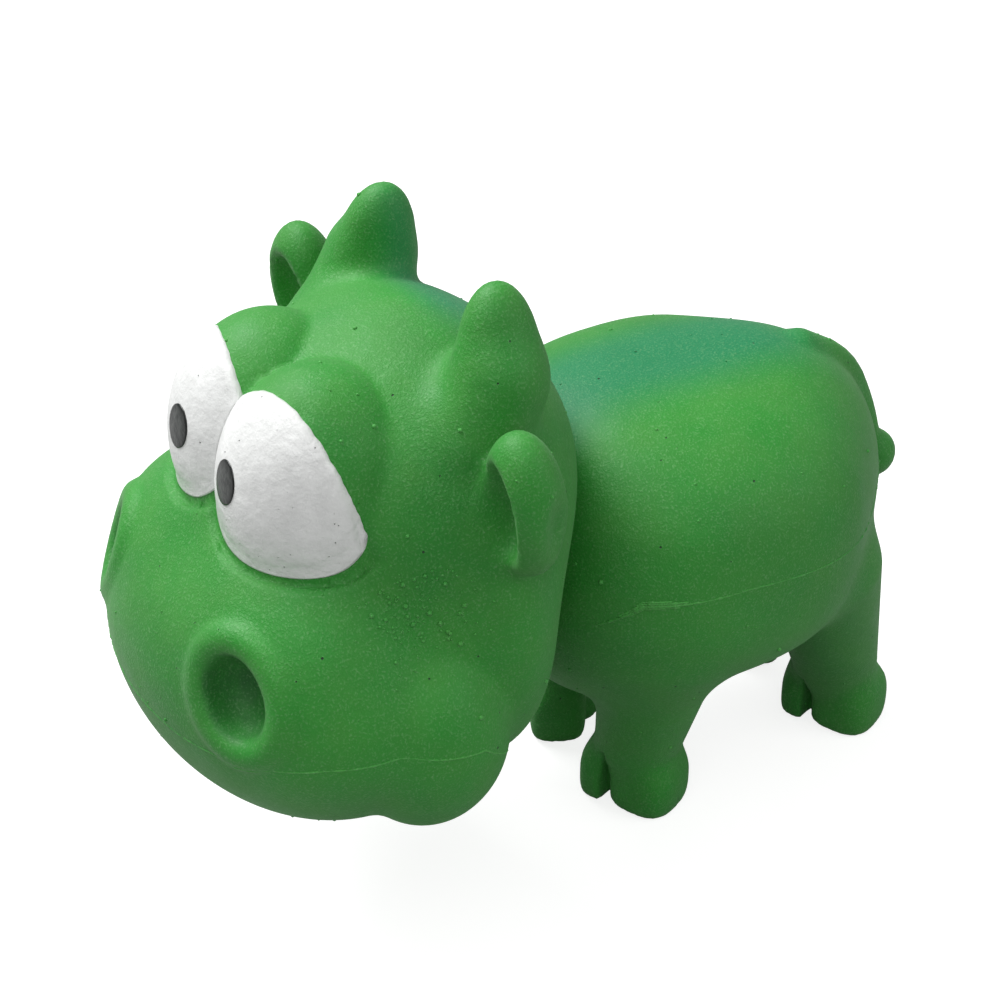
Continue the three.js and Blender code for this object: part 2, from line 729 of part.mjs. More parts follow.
// Pupils: thinner coats on the whites
const pupilAt = inHead(pupilShares);
const pupilEdge = (x, y, z) => {
  const across = (x - pupilAt[0]) / (pupilWidth / 2);
  const upward = (z - pupilAt[2]) / (pupilHeight / 2);
  return (Math.hypot(across, upward) - 1) * pupilWidth / 2;
};
const pupilLow = [pupilAt[0] - pupilWidth, eyeAt[1] - eyeDepth, pupilAt[2] - pupilHeight];
const pupilHigh = [pupilAt[0] + pupilWidth, eyeAt[1], pupilAt[2] + pupilHeight];
const pupilShell = [(x, y, z) => eyeForm(x, y, z) - gap - coat, pupilEdge];
const pupilOuter = toSolid(surfaceOf(pupilShell, pupilLow, pupilHigh, pupilFacet));
const pupilInner = toSolid(surfaceOf([(x, y, z) => eyeForm(x, y, z) - gap], pupilLow, pupilHigh, pupilFacet));
placePair('pupil', toGeometry(pupilOuter.subtract(pupilInner)), materials.black);

// Fibre filling: follows the hollow skin and leaves room for the plug
const plugTop = floorLevel + plugHeight;
const capTop = plugTop + gap + capThick;
const relief = (x, y, z) => Math.min(tailForm(x, y, z), hornForm(Math.abs(x), y, z));
const filling = [cavityForm(wall + fibreClear), (x, y, z) => gap - relief(x, y, z)];
const fibre = toSolid(surfaceOf(filling, wholeLow, wholeHigh, cavityFacet));
const plugRoom = disc(flangeRadius + 2 * wall, -cutOverrun, floorLevel + lipThick + 2 * gap);
const stemRoom = disc(plugRadius + gap, 0, capTop + gap);
place('fibre_filling', toGeometry(fibre.subtract(plugRoom).subtract(stemRoom)), materials.fibre);

// Squeaker plug: a flanged cup that grips the edge of the belly hole
const flangeTop = seatLevel - gap;
const flangeBottom = flangeTop - flangeThick;
const chamberRadius = plugRadius - plugWall;
place('squeaker_plug', turned([
  [ventRadius, flangeBottom],
  [flangeRadius, flangeBottom],
  [flangeRadius, flangeTop],
  [plugRadius, flangeTop],
  [plugRadius, floorLevel + gap],
  [lipRadius, floorLevel + gap],
  [plugRadius, floorLevel + gap + lipThick],
  [plugRadius, plugTop],
  [chamberRadius, plugTop],
  [chamberRadius, flangeTop],
  [ventRadius, flangeTop],
  [ventRadius, flangeBottom],
]), materials.plastic);

// Squeaker cap: closes the cup and carries the reed
place('squeaker_cap', turned([
  [seatRadius + gap, capTop],
  [seatRadius + gap, plugTop - spigotDepth],
  [chamberRadius - gap, plugTop - spigotDepth],
  [chamberRadius - gap, plugTop + gap],
  [plugRadius, plugTop + gap],
  [plugRadius, capTop],
  [seatRadius + gap, capTop],
]), materials.plastic);

// Reed seat with its air channel, reed and reed clip
function upright(shape, from, length) {
  const settings = { depth: length, bevelEnabled: false, curveSegments: roundSteps / 4 };
  const geometry = new THREE.ExtrudeGeometry(shape, settings);
  return merged(geometry.translate(0, 0, from));
}

const reedFace = gap + reedThick;
const seatShape = new THREE.Shape();
seatShape.moveTo(channelWidth / 2, 0);
seatShape.lineTo(channelWidth / 2, -channelDepth);
seatShape.lineTo(-channelWidth / 2, -channelDepth);
seatShape.lineTo(-channelWidth / 2, 0);
seatShape.lineTo(-seatRadius, 0);
seatShape.absarc(0, 0, seatRadius, Math.PI, 2 * Math.PI, false);
place('reed_seat', upright(seatShape, capTop - seatLength, seatLength), materials.plastic);

const clipFlat = reedFace + gap;
const clipAngle = Math.asin(clipFlat / seatRadius);
const clipShape = new THREE.Shape();
clipShape.absarc(0, 0, seatRadius, clipAngle, Math.PI - clipAngle, false);
place('reed_clip', upright(clipShape, capTop - clipLength, clipLength), materials.plastic);

const reedGeometry = new THREE.BoxGeometry(reedWidth, reedThick, reedLength);
reedGeometry.translate(0, gap + reedThick / 2, capTop - reedLength / 2);
place('squeaker_reed', merged(reedGeometry), materials.brass);

// Row origin: under the middle of the toy, on the floor
const extent = new THREE.Box3().setFromObject(toy);
toy.position.y = -(extent.min.y + extent.max.y) / 2;

export default toy;
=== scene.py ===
# Squeaky latex dog toy, a small green bull with bulging eyes.
# Metres, +Z up, the toy looks towards -Y. Forms are written about the squeaker plug's axis.
import math

import bmesh
import bpy
import numpy as np
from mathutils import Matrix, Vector


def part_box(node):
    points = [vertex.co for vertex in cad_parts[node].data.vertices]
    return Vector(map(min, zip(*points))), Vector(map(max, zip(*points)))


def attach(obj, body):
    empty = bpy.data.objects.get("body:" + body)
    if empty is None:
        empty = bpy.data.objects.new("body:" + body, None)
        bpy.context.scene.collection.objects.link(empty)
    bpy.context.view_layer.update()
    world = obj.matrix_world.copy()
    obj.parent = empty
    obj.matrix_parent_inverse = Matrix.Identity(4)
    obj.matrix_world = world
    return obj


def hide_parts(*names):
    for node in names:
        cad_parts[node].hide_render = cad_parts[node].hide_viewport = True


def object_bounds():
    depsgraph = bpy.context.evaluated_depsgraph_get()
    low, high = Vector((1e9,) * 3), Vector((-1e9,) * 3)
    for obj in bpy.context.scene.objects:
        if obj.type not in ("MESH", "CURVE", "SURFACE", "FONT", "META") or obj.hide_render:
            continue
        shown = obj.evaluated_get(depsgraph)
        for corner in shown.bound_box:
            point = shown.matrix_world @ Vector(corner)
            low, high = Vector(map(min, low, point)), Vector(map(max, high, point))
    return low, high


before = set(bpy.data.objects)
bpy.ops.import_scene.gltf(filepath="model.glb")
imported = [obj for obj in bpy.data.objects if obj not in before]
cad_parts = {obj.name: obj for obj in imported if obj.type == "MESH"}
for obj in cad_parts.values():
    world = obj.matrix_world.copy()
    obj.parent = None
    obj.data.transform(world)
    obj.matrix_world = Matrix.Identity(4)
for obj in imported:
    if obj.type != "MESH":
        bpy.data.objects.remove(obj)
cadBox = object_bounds()
plugLow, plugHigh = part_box("squeaker_plug")
plugAxis = (plugLow + plugHigh) / 2
formOrigin = np.array([plugAxis.x, plugAxis.y, 0.0])
tiny = 1e-9  # keeps a division away from zero
print("frame loaded, toy length", round((cadBox[1][1] - cadBox[0][1]) * 1000, 1), "mm")


# Forms: negative inside, positive outside, growing about as the distance does
def lump(at, half):
    (cx, cy, cz), (hx, hy, hz) = at, half

    def form(x, y, z):
        u, v, w = (x - cx) / hx, (y - cy) / hy, (z - cz) / hz
        reach = np.sqrt(u * u + v * v + w * w)
        slope = np.sqrt((u / hx) ** 2 + (v / hy) ** 2 + (w / hz) ** 2)
        return reach * (reach - 1) / np.maximum(slope, tiny)

    return form


def squareLump(at, half, power):
    (cx, cy, cz), (hx, hy, hz) = at, half

    def form(x, y, z):
        u, v, w = abs(x - cx) / hx, abs(y - cy) / hy, abs(z - cz) / hz
        reach = np.maximum((u ** power + v ** power + w ** power) ** (1 / power), tiny)
        su, sv, sw = [(t / reach) ** (power - 1) / h for t, h in ((u, hx), (v, hy), (w, hz))]
        return (reach - 1) / np.sqrt(su * su + sv * sv + sw * sw + tiny)

    return form


def limb(start, end, startRadius, endRadius):
    start, run = np.array(start), np.array(end) - np.array(start)
    runSquared = run @ run

    def form(x, y, z):
        px, py, pz = x - start[0], y - start[1], z - start[2]
        t = np.clip((px * run[0] + py * run[1] + pz * run[2]) / runSquared, 0, 1)
        away = np.sqrt((px - t * run[0]) ** 2 + (py - t * run[1]) ** 2 + (pz - t * run[2]) ** 2)
        return away - (startRadius + t * (endRadius - startRadius))

    return form


def ringForm(halfWidth, halfHeight, radius):
    def form(x, y, z):
        angle = np.arctan2(z / halfHeight, x / halfWidth)
        dx, dz = x - halfWidth * np.cos(angle), z - halfHeight * np.sin(angle)
        return np.sqrt(dx * dx + y * y + dz * dz) - radius

    return form


# Two forms joined with a fillet, and one cut out of another with a rounded edge
def joinSmooth(a, b, radius):
    near = np.maximum(radius - abs(a - b), 0)
    return np.minimum(a, b) - near * near / (4 * radius)


def cutSmooth(a, b, radius):
    return -joinSmooth(-a, b, radius)


def turnMatrix(degrees):
    ax, ay, az = np.radians(degrees)
    rx = np.array([[1, 0, 0], [0, math.cos(ax), -math.sin(ax)], [0, math.sin(ax), math.cos(ax)]])
    ry = np.array([[math.cos(ay), 0, math.sin(ay)], [0, 1, 0], [-math.sin(ay), 0, math.cos(ay)]])
    rz = np.array([[math.cos(az), -math.sin(az), 0], [math.sin(az), math.cos(az), 0], [0, 0, 1]])
    return rz @ ry @ rx


def turnedForm(form, at, degrees):
    m = turnMatrix(degrees)

    def turned(x, y, z):
        px, py, pz = x - at[0], y - at[1], z - at[2]
        return form(
            m[0][0] * px + m[1][0] * py + m[2][0] * pz,
            m[0][1] * px + m[1][1] * py + m[2][1] * pz,
            m[0][2] * px + m[1][2] * py + m[2][2] * pz,
        )

    return turned


# Places and sizes in torso and head are shares of that part's own box
def placeIn(box, share):
    x, y, z = share
    return [x * box["width"], box["front"] + y * box["length"], box["lift"] + z * box["height"]]


def halfIn(box, share):
    x, y, z = share
    return [x * box["width"], y * box["length"], z * box["height"]]


def lumpIn(box, name):
    at, half = box[name]
    return lump(placeIn(box, at), halfIn(box, half))


# Torso: a squarish barrel with a chest and a rump
torso = {
    "width": 0.072,
    "length": 0.067,
    "height": 0.057,
    "lift": 0.028,
    "front": -0.044,
    "squareness": 2.5,
    "barrel": ((0, 0.5, 0.493), (0.5, 0.5, 0.493)),
    "chest": ((0, 0.29, 0.42), (0.38, 0.33, 0.52)),
    "rump": ((0, 0.81, 0.49), (0.3, 0.33, 0.46)),
    "blend": 0.008,
}
barrelAt, barrelHalf = torso["barrel"]
barrelForm = squareLump(placeIn(torso, barrelAt), halfIn(torso, barrelHalf), torso["squareness"])
chestForm, rumpForm = lumpIn(torso, "chest"), lumpIn(torso, "rump")


def torsoForm(x, y, z):
    front = joinSmooth(barrelForm(x, y, z), chestForm(x, y, z), torso["blend"])
    return joinSmooth(front, rumpForm(x, y, z), torso["blend"])


# Legs: tapering limbs on cloven feet that are turned out
leg = {
    "footX": 0.0134,
    "ankleHeight": 0.0150,
    "outerToeAt": (0.0022, 0.0002, 0.0050),
    "outerToeHalf": (0.0068, 0.0071, 0.0078),
    "innerToeAt": (-0.0060, -0.0018, 0.0050),
    "innerToeHalf": (0.0040, 0.0054, 0.0074),
    "toeSquareness": 2.8,
    "cleftAt": (-0.0036, -0.0075, 0.0010),
    "cleftHalf": (0.0009, 0.0050, 0.0125),
    "cleftRound": 0.0004,
    "toeOut": 26,
    "cleftBlend": 0.0002,
    "toeBlend": 0.003,
}
foreLeg = {
    "root": (0.0195, -0.0225, 0.0430),
    "footY": -0.0224,
    "ankleY": -0.0226,
    "rootRadius": 0.0115,
    "ankleRadius": 0.0082,
    "hipBlend": 0.004,
}
hindLeg = {
    "root": (0.0190, 0.0120, 0.0450),
    "footY": 0.0242,
    "ankleY": 0.0224,
    "rootRadius": 0.0110,
    "ankleRadius": 0.0082,
    "hipBlend": 0.003,
}


def legForm(shape):
    ankle = (leg["footX"], shape["ankleY"], leg["ankleHeight"])
    stem = limb(shape["root"], ankle, shape["rootRadius"], shape["ankleRadius"])
    outer = squareLump(leg["outerToeAt"], leg["outerToeHalf"], leg["toeSquareness"])
    inner = squareLump(leg["innerToeAt"], leg["innerToeHalf"], leg["toeSquareness"])

    def toes(x, y, z):
        return joinSmooth(outer(x, y, z), inner(x, y, z), leg["cleftBlend"])

    at, turn = (leg["footX"], shape["footY"], 0), (0, 0, leg["toeOut"])
    foot = turnedForm(toes, at, turn)
    cleft = turnedForm(lump(leg["cleftAt"], leg["cleftHalf"]), at, turn)

    def form(x, y, z):
        whole = joinSmooth(stem(x, y, z), foot(x, y, z), leg["toeBlend"])
        return cutSmooth(whole, cleft(x, y, z), leg["cleftRound"])

    return form


foreLegForm = legForm(foreLeg)
hindLegForm = legForm(hindLeg)

# Tail: a rope in relief that runs down the rump to its tuft
tail = {
    "path": ((0, 0.918, 0.895), (0, 1.063, 0.789), (0, 1.146, 0.605), (0, 1.191, 0.456)),
    "radii": (0.0037, 0.0035, 0.0030, 0.0026),
    "cornerCut": 0.25,
    "cornerRounds": 2,
    "tuftAt": (0, 1.218, 0.379),
    "tuftHalf": (0.0043, 0.0046, 0.0048),
    "blend": 0.002,
}


# A path with its corners cut off, each row a place and a radius
def softened(rows, cut, rounds):
    for _ in range(rounds):
        a, b = rows[:-1], rows[1:]
        between = np.stack([a * (1 - cut) + b * cut, a * cut + b * (1 - cut)], 1)
        rows = np.concatenate([rows[:1], between.reshape(-1, rows.shape[1]), rows[-1:]])
    return rows


tailPath = [placeIn(torso, share) for share in tail["path"]]
tailRows = softened(np.column_stack([tailPath, tail["radii"]]), tail["cornerCut"], tail["cornerRounds"])
tailParts = [limb(a[:3], b[:3], a[3], b[3]) for a, b in zip(tailRows[:-1], tailRows[1:])]
tuftForm = lump(placeIn(torso, tail["tuftAt"]), tail["tuftHalf"])


def tailForm(x, y, z):
    rope = np.minimum.reduce([part(x, y, z) for part in tailParts])
    return joinSmooth(rope, tuftForm(x, y, z), tail["blend"])


# Head: skull, nape, muzzle, the bulge at the corner of the mouth and the swelling under the eye
head = {
    "width": 0.082,
    "length": 0.070,
    "height": 0.086,
    "lift": 0.025,
    "front": -0.115,
    "skull": ((0, 0.7, 0.67), (0.395, 0.435, 0.325)),
    "nape": ((0, 0.765, 0.5), (0.478, 0.225, 0.465)),
    "muzzle": ((0, 0.425, 0.366), (0.5, 0.407, 0.308)),
    "cheek": ((0.382, 0.548, 0.328), (0.159, 0.2, 0.198)),
    "underEye": ((0.183, 0.343, 0.514), (0.195, 0.190, 0.130)),
    "napeBlend": 0.010,
    "muzzleBlend": 0.012,
    "cheekBlend": 0.0014,
    "underEyeBlend": 0.008,
}
skullForm = lumpIn(head, "skull")
swellings = [(lumpIn(head, name), head[name + "Blend"]) for name in ("nape", "muzzle", "cheek", "underEye")]

# Eyes: a plane leans across each eyeball, which stands out by the lid's edge in front of it
eye = {
    "at": placeIn(head, (0.113, 0.471, 0.756)),
    "half": (0.0157, 0.0163, 0.0206),
    "lidEdgeThick": 0.0006,
    "lidThick": 0.0030,
    "lidSwell": 0.0040,
    "lidFacing": (-0.20, 0.97, 0.12),
    "lidPoint": (0.0125, -0.0886, 0.1040),
    "lidRound": 0.0004,
    "creaseBlend": 0.0005,
    "browBlend": 0.0010,
    "browGroove": 0.0011,
    "paintOver": 0.00035,
    "pupilAt": (0.0090, 0.0955),
    "pupilHalf": (0.0031, 0.0036),
}
eyeForm = lump(eye["at"], eye["half"])


def smoothStep(value, low, high):
    t = np.clip((value - low) / (high - low), 0, 1)
    return t * t * (3 - 2 * t)


# Positive in front of the lid's plane
def lidSide(x, y, z):
    (nx, ny, nz), (px, py, pz) = eye["lidFacing"], eye["lidPoint"]
    return (px - x) * nx + (py - y) * ny + (pz - z) * nz


# The cut leaves what is in front of the plane, so the swell behind it shows only in the groove
def lidForm(x, y, z):
    front = lidSide(x, y, z)
    swell = smoothStep(-front, 0, eye["lidSwell"])
    grown = eyeForm(x, y, z) - eye["lidEdgeThick"] - swell * (eye["lidThick"] - eye["lidEdgeThick"])
    return cutSmooth(grown, front, eye["lidRound"])


# The face with the eyes joined to it and a groove round them
def browed(face, x, y, z):
    lids = lidForm(x, y, z)
    groove = (face + eye["browGroove"] - abs(lids - eye["browBlend"])) * math.sqrt(0.5)
    hooded = joinSmooth(np.maximum(face, groove), lids, eye["browBlend"])
    return joinSmooth(hooded, eyeForm(x, y, z), eye["creaseBlend"])


# Nostrils: a raised oval rim on a pad, with a deep recess
nostril = {
    "at": placeIn(head, (0.279, 0.162, 0.472)),
    "turn": (-20, -27, 36),
    "ringHalf": (0.0077, 0.0092),
    "ringRadius": 0.0032,
    "padAt": (0, 0.002, 0),
    "padHalf": (0.0080, 0.0036, 0.0095),
    "padBlend": 0.0012,
    "recessAt": (0, -0.003, 0),
    "recessHalf": (0.0055, 0.0068, 0.0070),
    "rimBlend": 0.0006,
    "lipBlend": 0.001,
}
nostrilRing = ringForm(*nostril["ringHalf"], nostril["ringRadius"])
nostrilPad = lump(nostril["padAt"], nostril["padHalf"])


def nostrilRim(x, y, z):
    return joinSmooth(nostrilRing(x, y, z), nostrilPad(x, y, z), nostril["padBlend"])


nostrilForm = turnedForm(nostrilRim, nostril["at"], nostril["turn"])
recessForm = turnedForm(lump(nostril["recessAt"], nostril["recessHalf"]), nostril["at"], nostril["turn"])

# Horns: a short root that carries a leaning tip
horn = {
    "at": placeIn(head, (0.256, 0.764, 0.866)),
    "lowerTo": (0.0008, 0.0042, 0.0085),
    "radii": (0.0088, 0.0076),
    "upperAt": (-0.0004, 0.0048, 0.0108),
    "upperHalf": (0.0057, 0.0068, 0.0130),
    "upperTurn": (-4, -12, 0),
    "bendBlend": 0.003,
    "blend": 0.0035,
}
hornRoot = limb(horn["at"], np.add(horn["at"], horn["lowerTo"]), *horn["radii"])
hornOval = lump((0, 0, 0), horn["upperHalf"])
hornTip = turnedForm(hornOval, np.add(horn["at"], horn["upperAt"]), horn["upperTurn"])


def hornForm(x, y, z):
    return joinSmooth(hornRoot(x, y, z), hornTip(x, y, z), horn["bendBlend"])


# Ears: an upright oval, hollowed in front, with a valley beside its rim
ear = {
    "at": placeIn(head, (0.455, 0.757, 0.825)),
    "turn": (4, 0, 0),
    "half": (0.0074, 0.0062, 0.0128),
    "cupAt": (-0.0008, -0.0062, -0.0010),
    "cupHalf": (0.0052, 0.0070, 0.0094),
    "valleyAt": (0.0088, 0.0030, -0.0030),
    "valleyHalf": (0.0042, 0.0030, 0.0075),
    "lipBlend": 0.002,
}
earOval, earCup = lump((0, 0, 0), ear["half"]), lump(ear["cupAt"], ear["cupHalf"])
earValley = lump(ear["valleyAt"], ear["valleyHalf"])


def earShell(x, y, z):
    cupped = cutSmooth(earOval(x, y, z), earCup(x, y, z), ear["lipBlend"])
    return cutSmooth(cupped, earValley(x, y, z), ear["lipBlend"])


earForm = turnedForm(earShell, ear["at"], ear["turn"])

skinSettings = {
    "facet": 0.0010,
    "innerFacet": 0.0024,
    "wall": 0.002,
    "fibreClear": 0.0022,
    "neckBlend": 0.0012,
    "tailBlend": 0.0015,
    "soleRound": 0.0012,
    "margin": 0.003,
}


def headForm(x, y, z):
    face = skullForm(x, y, z)
    for swelling, blend in swellings:
        face = joinSmooth(face, swelling(x, y, z), blend)
    face = browed(face, x, y, z)
    face = joinSmooth(face, hornForm(x, y, z), horn["blend"])
    face = joinSmooth(face, earForm(x, y, z), ear["lipBlend"])
    face = joinSmooth(face, nostrilForm(x, y, z), nostril["rimBlend"])
    return cutSmooth(face, recessForm(x, y, z), nostril["lipBlend"])


# The whole toy, mirrored about its middle plane and cut flat at the soles
def skinForm(x, y, z):
    side = abs(x)
    body = joinSmooth(torsoForm(side, y, z), foreLegForm(side, y, z), foreLeg["hipBlend"])
    body = joinSmooth(body, hindLegForm(side, y, z), hindLeg["hipBlend"])
    body = joinSmooth(body, tailForm(side, y, z), skinSettings["tailBlend"])
    whole = joinSmooth(body, headForm(side, y, z), skinSettings["neckBlend"])
    return cutSmooth(whole, z, skinSettings["soleRound"])


# Surface nets: a form's surface found on a grid
netSettings = {"slopeParts": 20, "leastSteep": 0.05, "settleRounds": 4}


def slopeOf(form, points, facet):
    step = facet / netSettings["slopeParts"]
    slope = np.zeros_like(points)
    for axis in range(3):
        ahead, behind = points.copy(), points.copy()
        ahead[:, axis] += step
        behind[:, axis] -= step
        slope[:, axis] = (form(*ahead.T) - form(*behind.T)) / (2 * step)
    return slope


# Points moved onto the form's surface along its slope
def settle(form, points, facet):
    for _ in range(netSettings["settleRounds"]):
        slope = slopeOf(form, points, facet)
        steep = np.maximum((slope ** 2).sum(1), netSettings["leastSteep"])
        step = np.clip(form(*points.T) / steep, -facet / 2, facet / 2)
        points = points - step[:, None] * slope
    return points


# The net of a mirrored form, with one point in each grid cell that the surface crosses
def surfaceNet(form, low, high, facet):
    half = math.ceil(high[0] / facet)
    counts = [math.ceil((high[i] - low[i]) / facet) + 1 for i in (1, 2)]
    sideX = np.arange(half + 1) * facet
    ys, zs = low[1] + np.arange(counts[0]) * facet, low[2] + np.arange(counts[1]) * facet
    values = form(*np.meshgrid(sideX, ys, zs, indexing="ij"))
    values = np.concatenate([values[:0:-1], values])
    xs = np.concatenate([-sideX[:0:-1], sideX])
    inside = values < 0

    # A cell is crossed when some but not all of its eight corners lie inside
    cells = [n - 1 for n in inside.shape]
    filled = np.zeros(cells, np.int8)
    for corner in range(8):
        i, j, k = corner & 1, corner >> 1 & 1, corner >> 2
        filled += inside[i:i + cells[0], j:j + cells[1], k:k + cells[2]]
    crossed = np.argwhere((filled > 0) & (filled < 8))
    pointOf = np.full(cells, -1)
    pointOf[tuple(crossed.T)] = np.arange(len(crossed))

    # Its point is the middle of the places where its twelve edges meet the surface
    total, crossings = np.zeros((len(crossed), 3)), np.zeros(len(crossed))
    for corner in range(8):
        for axis in range(3):
            if corner >> axis & 1:
                continue
            first = crossed + [corner & 1, corner >> 1 & 1, corner >> 2]
            second = first.copy()
            second[:, axis] += 1
            va, vb = values[tuple(first.T)], values[tuple(second.T)]
            meets = (va < 0) != (vb < 0)
            spot = first.astype(float)
            spot[:, axis] += np.where(meets, va / np.where(meets, va - vb, 1), 0)
            total += spot * meets[:, None]
            crossings += meets
    points = np.array([xs[0], ys[0], zs[0]]) + total / crossings[:, None] * facet

    # Each grid edge that crosses the surface gives a face of the four cells round it
    quads = []
    for axis in range(3):
        u, v = (axis + 1) % 3, (axis + 2) % 3
        here = inside[tuple(slice(0, -1) if n == axis else slice(1, -1) for n in range(3))]
        there = inside[tuple(slice(1, None) if n == axis else slice(1, -1) for n in range(3))]
        edges = np.argwhere(here != there) + [int(n != axis) for n in range(3)]
        outward = inside[tuple(edges.T)]
        corners = []
        for du, dv in ((1, 1), (0, 1), (0, 0), (1, 0)):
            cell = edges.copy()
            cell[:, u] -= du
            cell[:, v] -= dv
            corners.append(pointOf[tuple(cell.T)])
        ring = np.stack(corners, 1)
        quads.append(np.where(outward[:, None], ring, ring[:, ::-1]))
    return settle(form, points, facet), np.concatenate(quads).tolist()


def newObject(name, data):
    piece = bpy.data.objects.new(name, data)
    bpy.context.scene.collection.objects.link(piece)
    return piece


def shadeSmooth(mesh):
    mesh.polygons.foreach_set("use_smooth", [True] * len(mesh.polygons))


def formObject(name, points, faces, material):
    mesh = bpy.data.meshes.new(name)
    mesh.from_pydata((points + formOrigin).tolist(), [], faces)
    mesh.validate()
    mesh.materials.append(material)
    shadeSmooth(mesh)
    return newObject(name, mesh)


def formPoints(piece):
    flat = np.zeros(len(piece.data.vertices) * 3)
    piece.data.vertices.foreach_get("co", flat)
    return flat.reshape(-1, 3) - formOrigin


def addAttribute(piece, name, values):
    attribute = piece.data.attributes.new(name, "FLOAT", "POINT")
    attribute.data.foreach_set("value", np.asarray(values, np.float32))


# A profile of radius and height turned about the plug's axis
def revolved(name, profile, steps, material):
    rows = len(profile)
    angles = np.linspace(0, 2 * math.pi, steps, endpoint=False)
    points = [(r * math.cos(a), r * math.sin(a), z) for a in angles for r, z in profile]
    mesh = bmesh.new()
    made = [mesh.verts.new(Vector(point) + Vector(formOrigin)) for point in points]
    for s in range(steps):
        for n in range(rows - 1):
            near, far = s * rows + n, (s + 1) % steps * rows + n
            mesh.faces.new([made[corner] for corner in (near, far, far + 1, near + 1)])
    bmesh.ops.remove_doubles(mesh, verts=mesh.verts, dist=1e-6)
    bmesh.ops.recalc_face_normals(mesh, faces=mesh.faces)
    data = bpy.data.meshes.new(name)
    mesh.to_mesh(data)
    mesh.free()
    data.materials.append(material)
    return newObject(name, data)


# A piece's modifiers made real in a plain mesh
def applied(piece):
    data = bpy.data.meshes.new_from_object(piece.evaluated_get(bpy.context.evaluated_depsgraph_get()))
    piece.modifiers.clear()
    old, piece.data = piece.data, data
    name = old.name
    bpy.data.meshes.remove(old)
    data.name = name
    return piece


def cutAway(piece, cutter):
    cut = piece.modifiers.new("cut", "BOOLEAN")
    cut.operation = "DIFFERENCE"
    cut.solver = "MANIFOLD"
    cut.object = cutter
    applied(piece)
    bpy.data.objects.remove(cutter)


# Nodes and materials
def newMaterial(name, **sockets):
    material = bpy.data.materials.new(name)
    material.use_nodes = True
    tree = material.node_tree
    shader = tree.nodes["Principled BSDF"]
    for socket, value in sockets.items():
        shader.inputs[socket.replace("_", " ")].default_value = value
    return material, tree, shader


def addNode(tree, kind, inputs=(), **settings):
    node = tree.nodes.new(kind)
    for key, value in settings.items():
        setattr(node, key, value)
    for key, value in dict(inputs).items():
        if isinstance(value, bpy.types.NodeSocket):
            tree.links.new(value, node.inputs[key])
        else:
            node.inputs[key].default_value = value
    return node


def objectPlace(tree):
    return addNode(tree, "ShaderNodeTexCoord").outputs["Object"]


def attributeValue(tree, name):
    return addNode(tree, "ShaderNodeAttribute", attribute_name=name).outputs["Fac"]


def noiseValue(tree, place, scale, detail=3.0, rough=0.5):
    inputs = {"Vector": place, "Scale": scale, "Detail": detail, "Roughness": rough}
    return addNode(tree, "ShaderNodeTexNoise", inputs).outputs["Fac"]


def spread(tree, value, fromLow, fromHigh, toLow=0.0, toHigh=1.0):
    inputs = {"Value": value, "From Min": fromLow, "From Max": fromHigh, "To Min": toLow, "To Max": toHigh}
    return addNode(tree, "ShaderNodeMapRange", inputs).outputs["Result"]


def maths(tree, operation, a, b=0.0):
    return addNode(tree, "ShaderNodeMath", {0: a, 1: b}, operation=operation).outputs["Value"]


# Sockets 0, 6 and 7 are the mix node's factor and colours, and output 2 its colour
def mixColour(tree, factor, a, b):
    return addNode(tree, "ShaderNodeMix", {0: factor, 6: a, 7: b}, data_type="RGBA").outputs[2]


def bumpNormal(tree, height, distance, under=None):
    inputs = {"Height": height, "Distance": distance, "Strength": 1.0}
    if under is not None:
        inputs["Normal"] = under
    return addNode(tree, "ShaderNodeBump", inputs).outputs["Normal"]


def dressShader(tree, shader, colour, normal):
    tree.links.new(colour, shader.inputs["Base Color"])
    tree.links.new(normal, shader.inputs["Normal"])


# Round pits: one in some of the cells of a Voronoi pattern, 1 at the middle of a pit and 0 away from it
def pinholes(tree, place, perMetre, size, share, smallest=0.45):
    inputs = {"Vector": place, "Scale": perMetre, "Randomness": 1.0}
    cells = addNode(tree, "ShaderNodeTexVoronoi", inputs)
    chance = addNode(tree, "ShaderNodeSeparateColor", {"Color": cells.outputs["Color"]})
    kept = maths(tree, "LESS_THAN", chance.outputs["Red"], share)
    radius = spread(tree, chance.outputs["Green"], 0.0, 1.0, size * smallest, size)
    depth = maths(tree, "SUBTRACT", 1.0, maths(tree, "DIVIDE", cells.outputs["Distance"], radius))
    return maths(tree, "MULTIPLY", kept, maths(tree, "MAXIMUM", depth, 0.0))


latexLook = {
    "green": (0.019, 0.240, 0.021, 1),
    "deepGreen": (0.012, 0.188, 0.016, 1),
    "oliveGreen": (0.055, 0.235, 0.032, 1),
    "dye": (0.001, 0.175, 0.064, 1),
    # This dark green serves both the dirt smudge on the crown and the painted shade inside the nostril
    # recesses
    "smudgeAndShade": (0.012, 0.088, 0.024, 1),
    "pitShade": (0.004, 0.030, 0.008, 1),
    "powder": (0.240, 0.480, 0.220, 1),
    "rough": 0.56,
    "smoother": 0.06,
    "rougher": 0.08,
    "specular": 0.36,
    "sheen": 0.10,
    "sheenRough": 0.55,
    "sheenTint": (0.75, 1.0, 0.72, 1),
    "broadScale": 26.0,
    "patchScale": 120.0,
    "oliveShare": 0.35,
    "powderFrom": (0.52, 0.74),
    "powderShare": 0.28,
    "pits": (330.0, 0.085, 0.36),
    "pitEdge": 0.25,
    "pitDepth": 2.0,
    "grainScale": 2600.0,
    "grainHeight": 0.00012,
    "waveScale": 170.0,
    "waveHeight": 0.00025,
}
# Paler green for the parting bead and cast bubbles: partly the thin flash's own paler latex, partly painted
# highlight for the light these small ridges and beads catch
flashPaleLitLook = {**latexLook, "green": (0.060, 0.340, 0.055, 1), "deepGreen": (0.030, 0.260, 0.035, 1)}


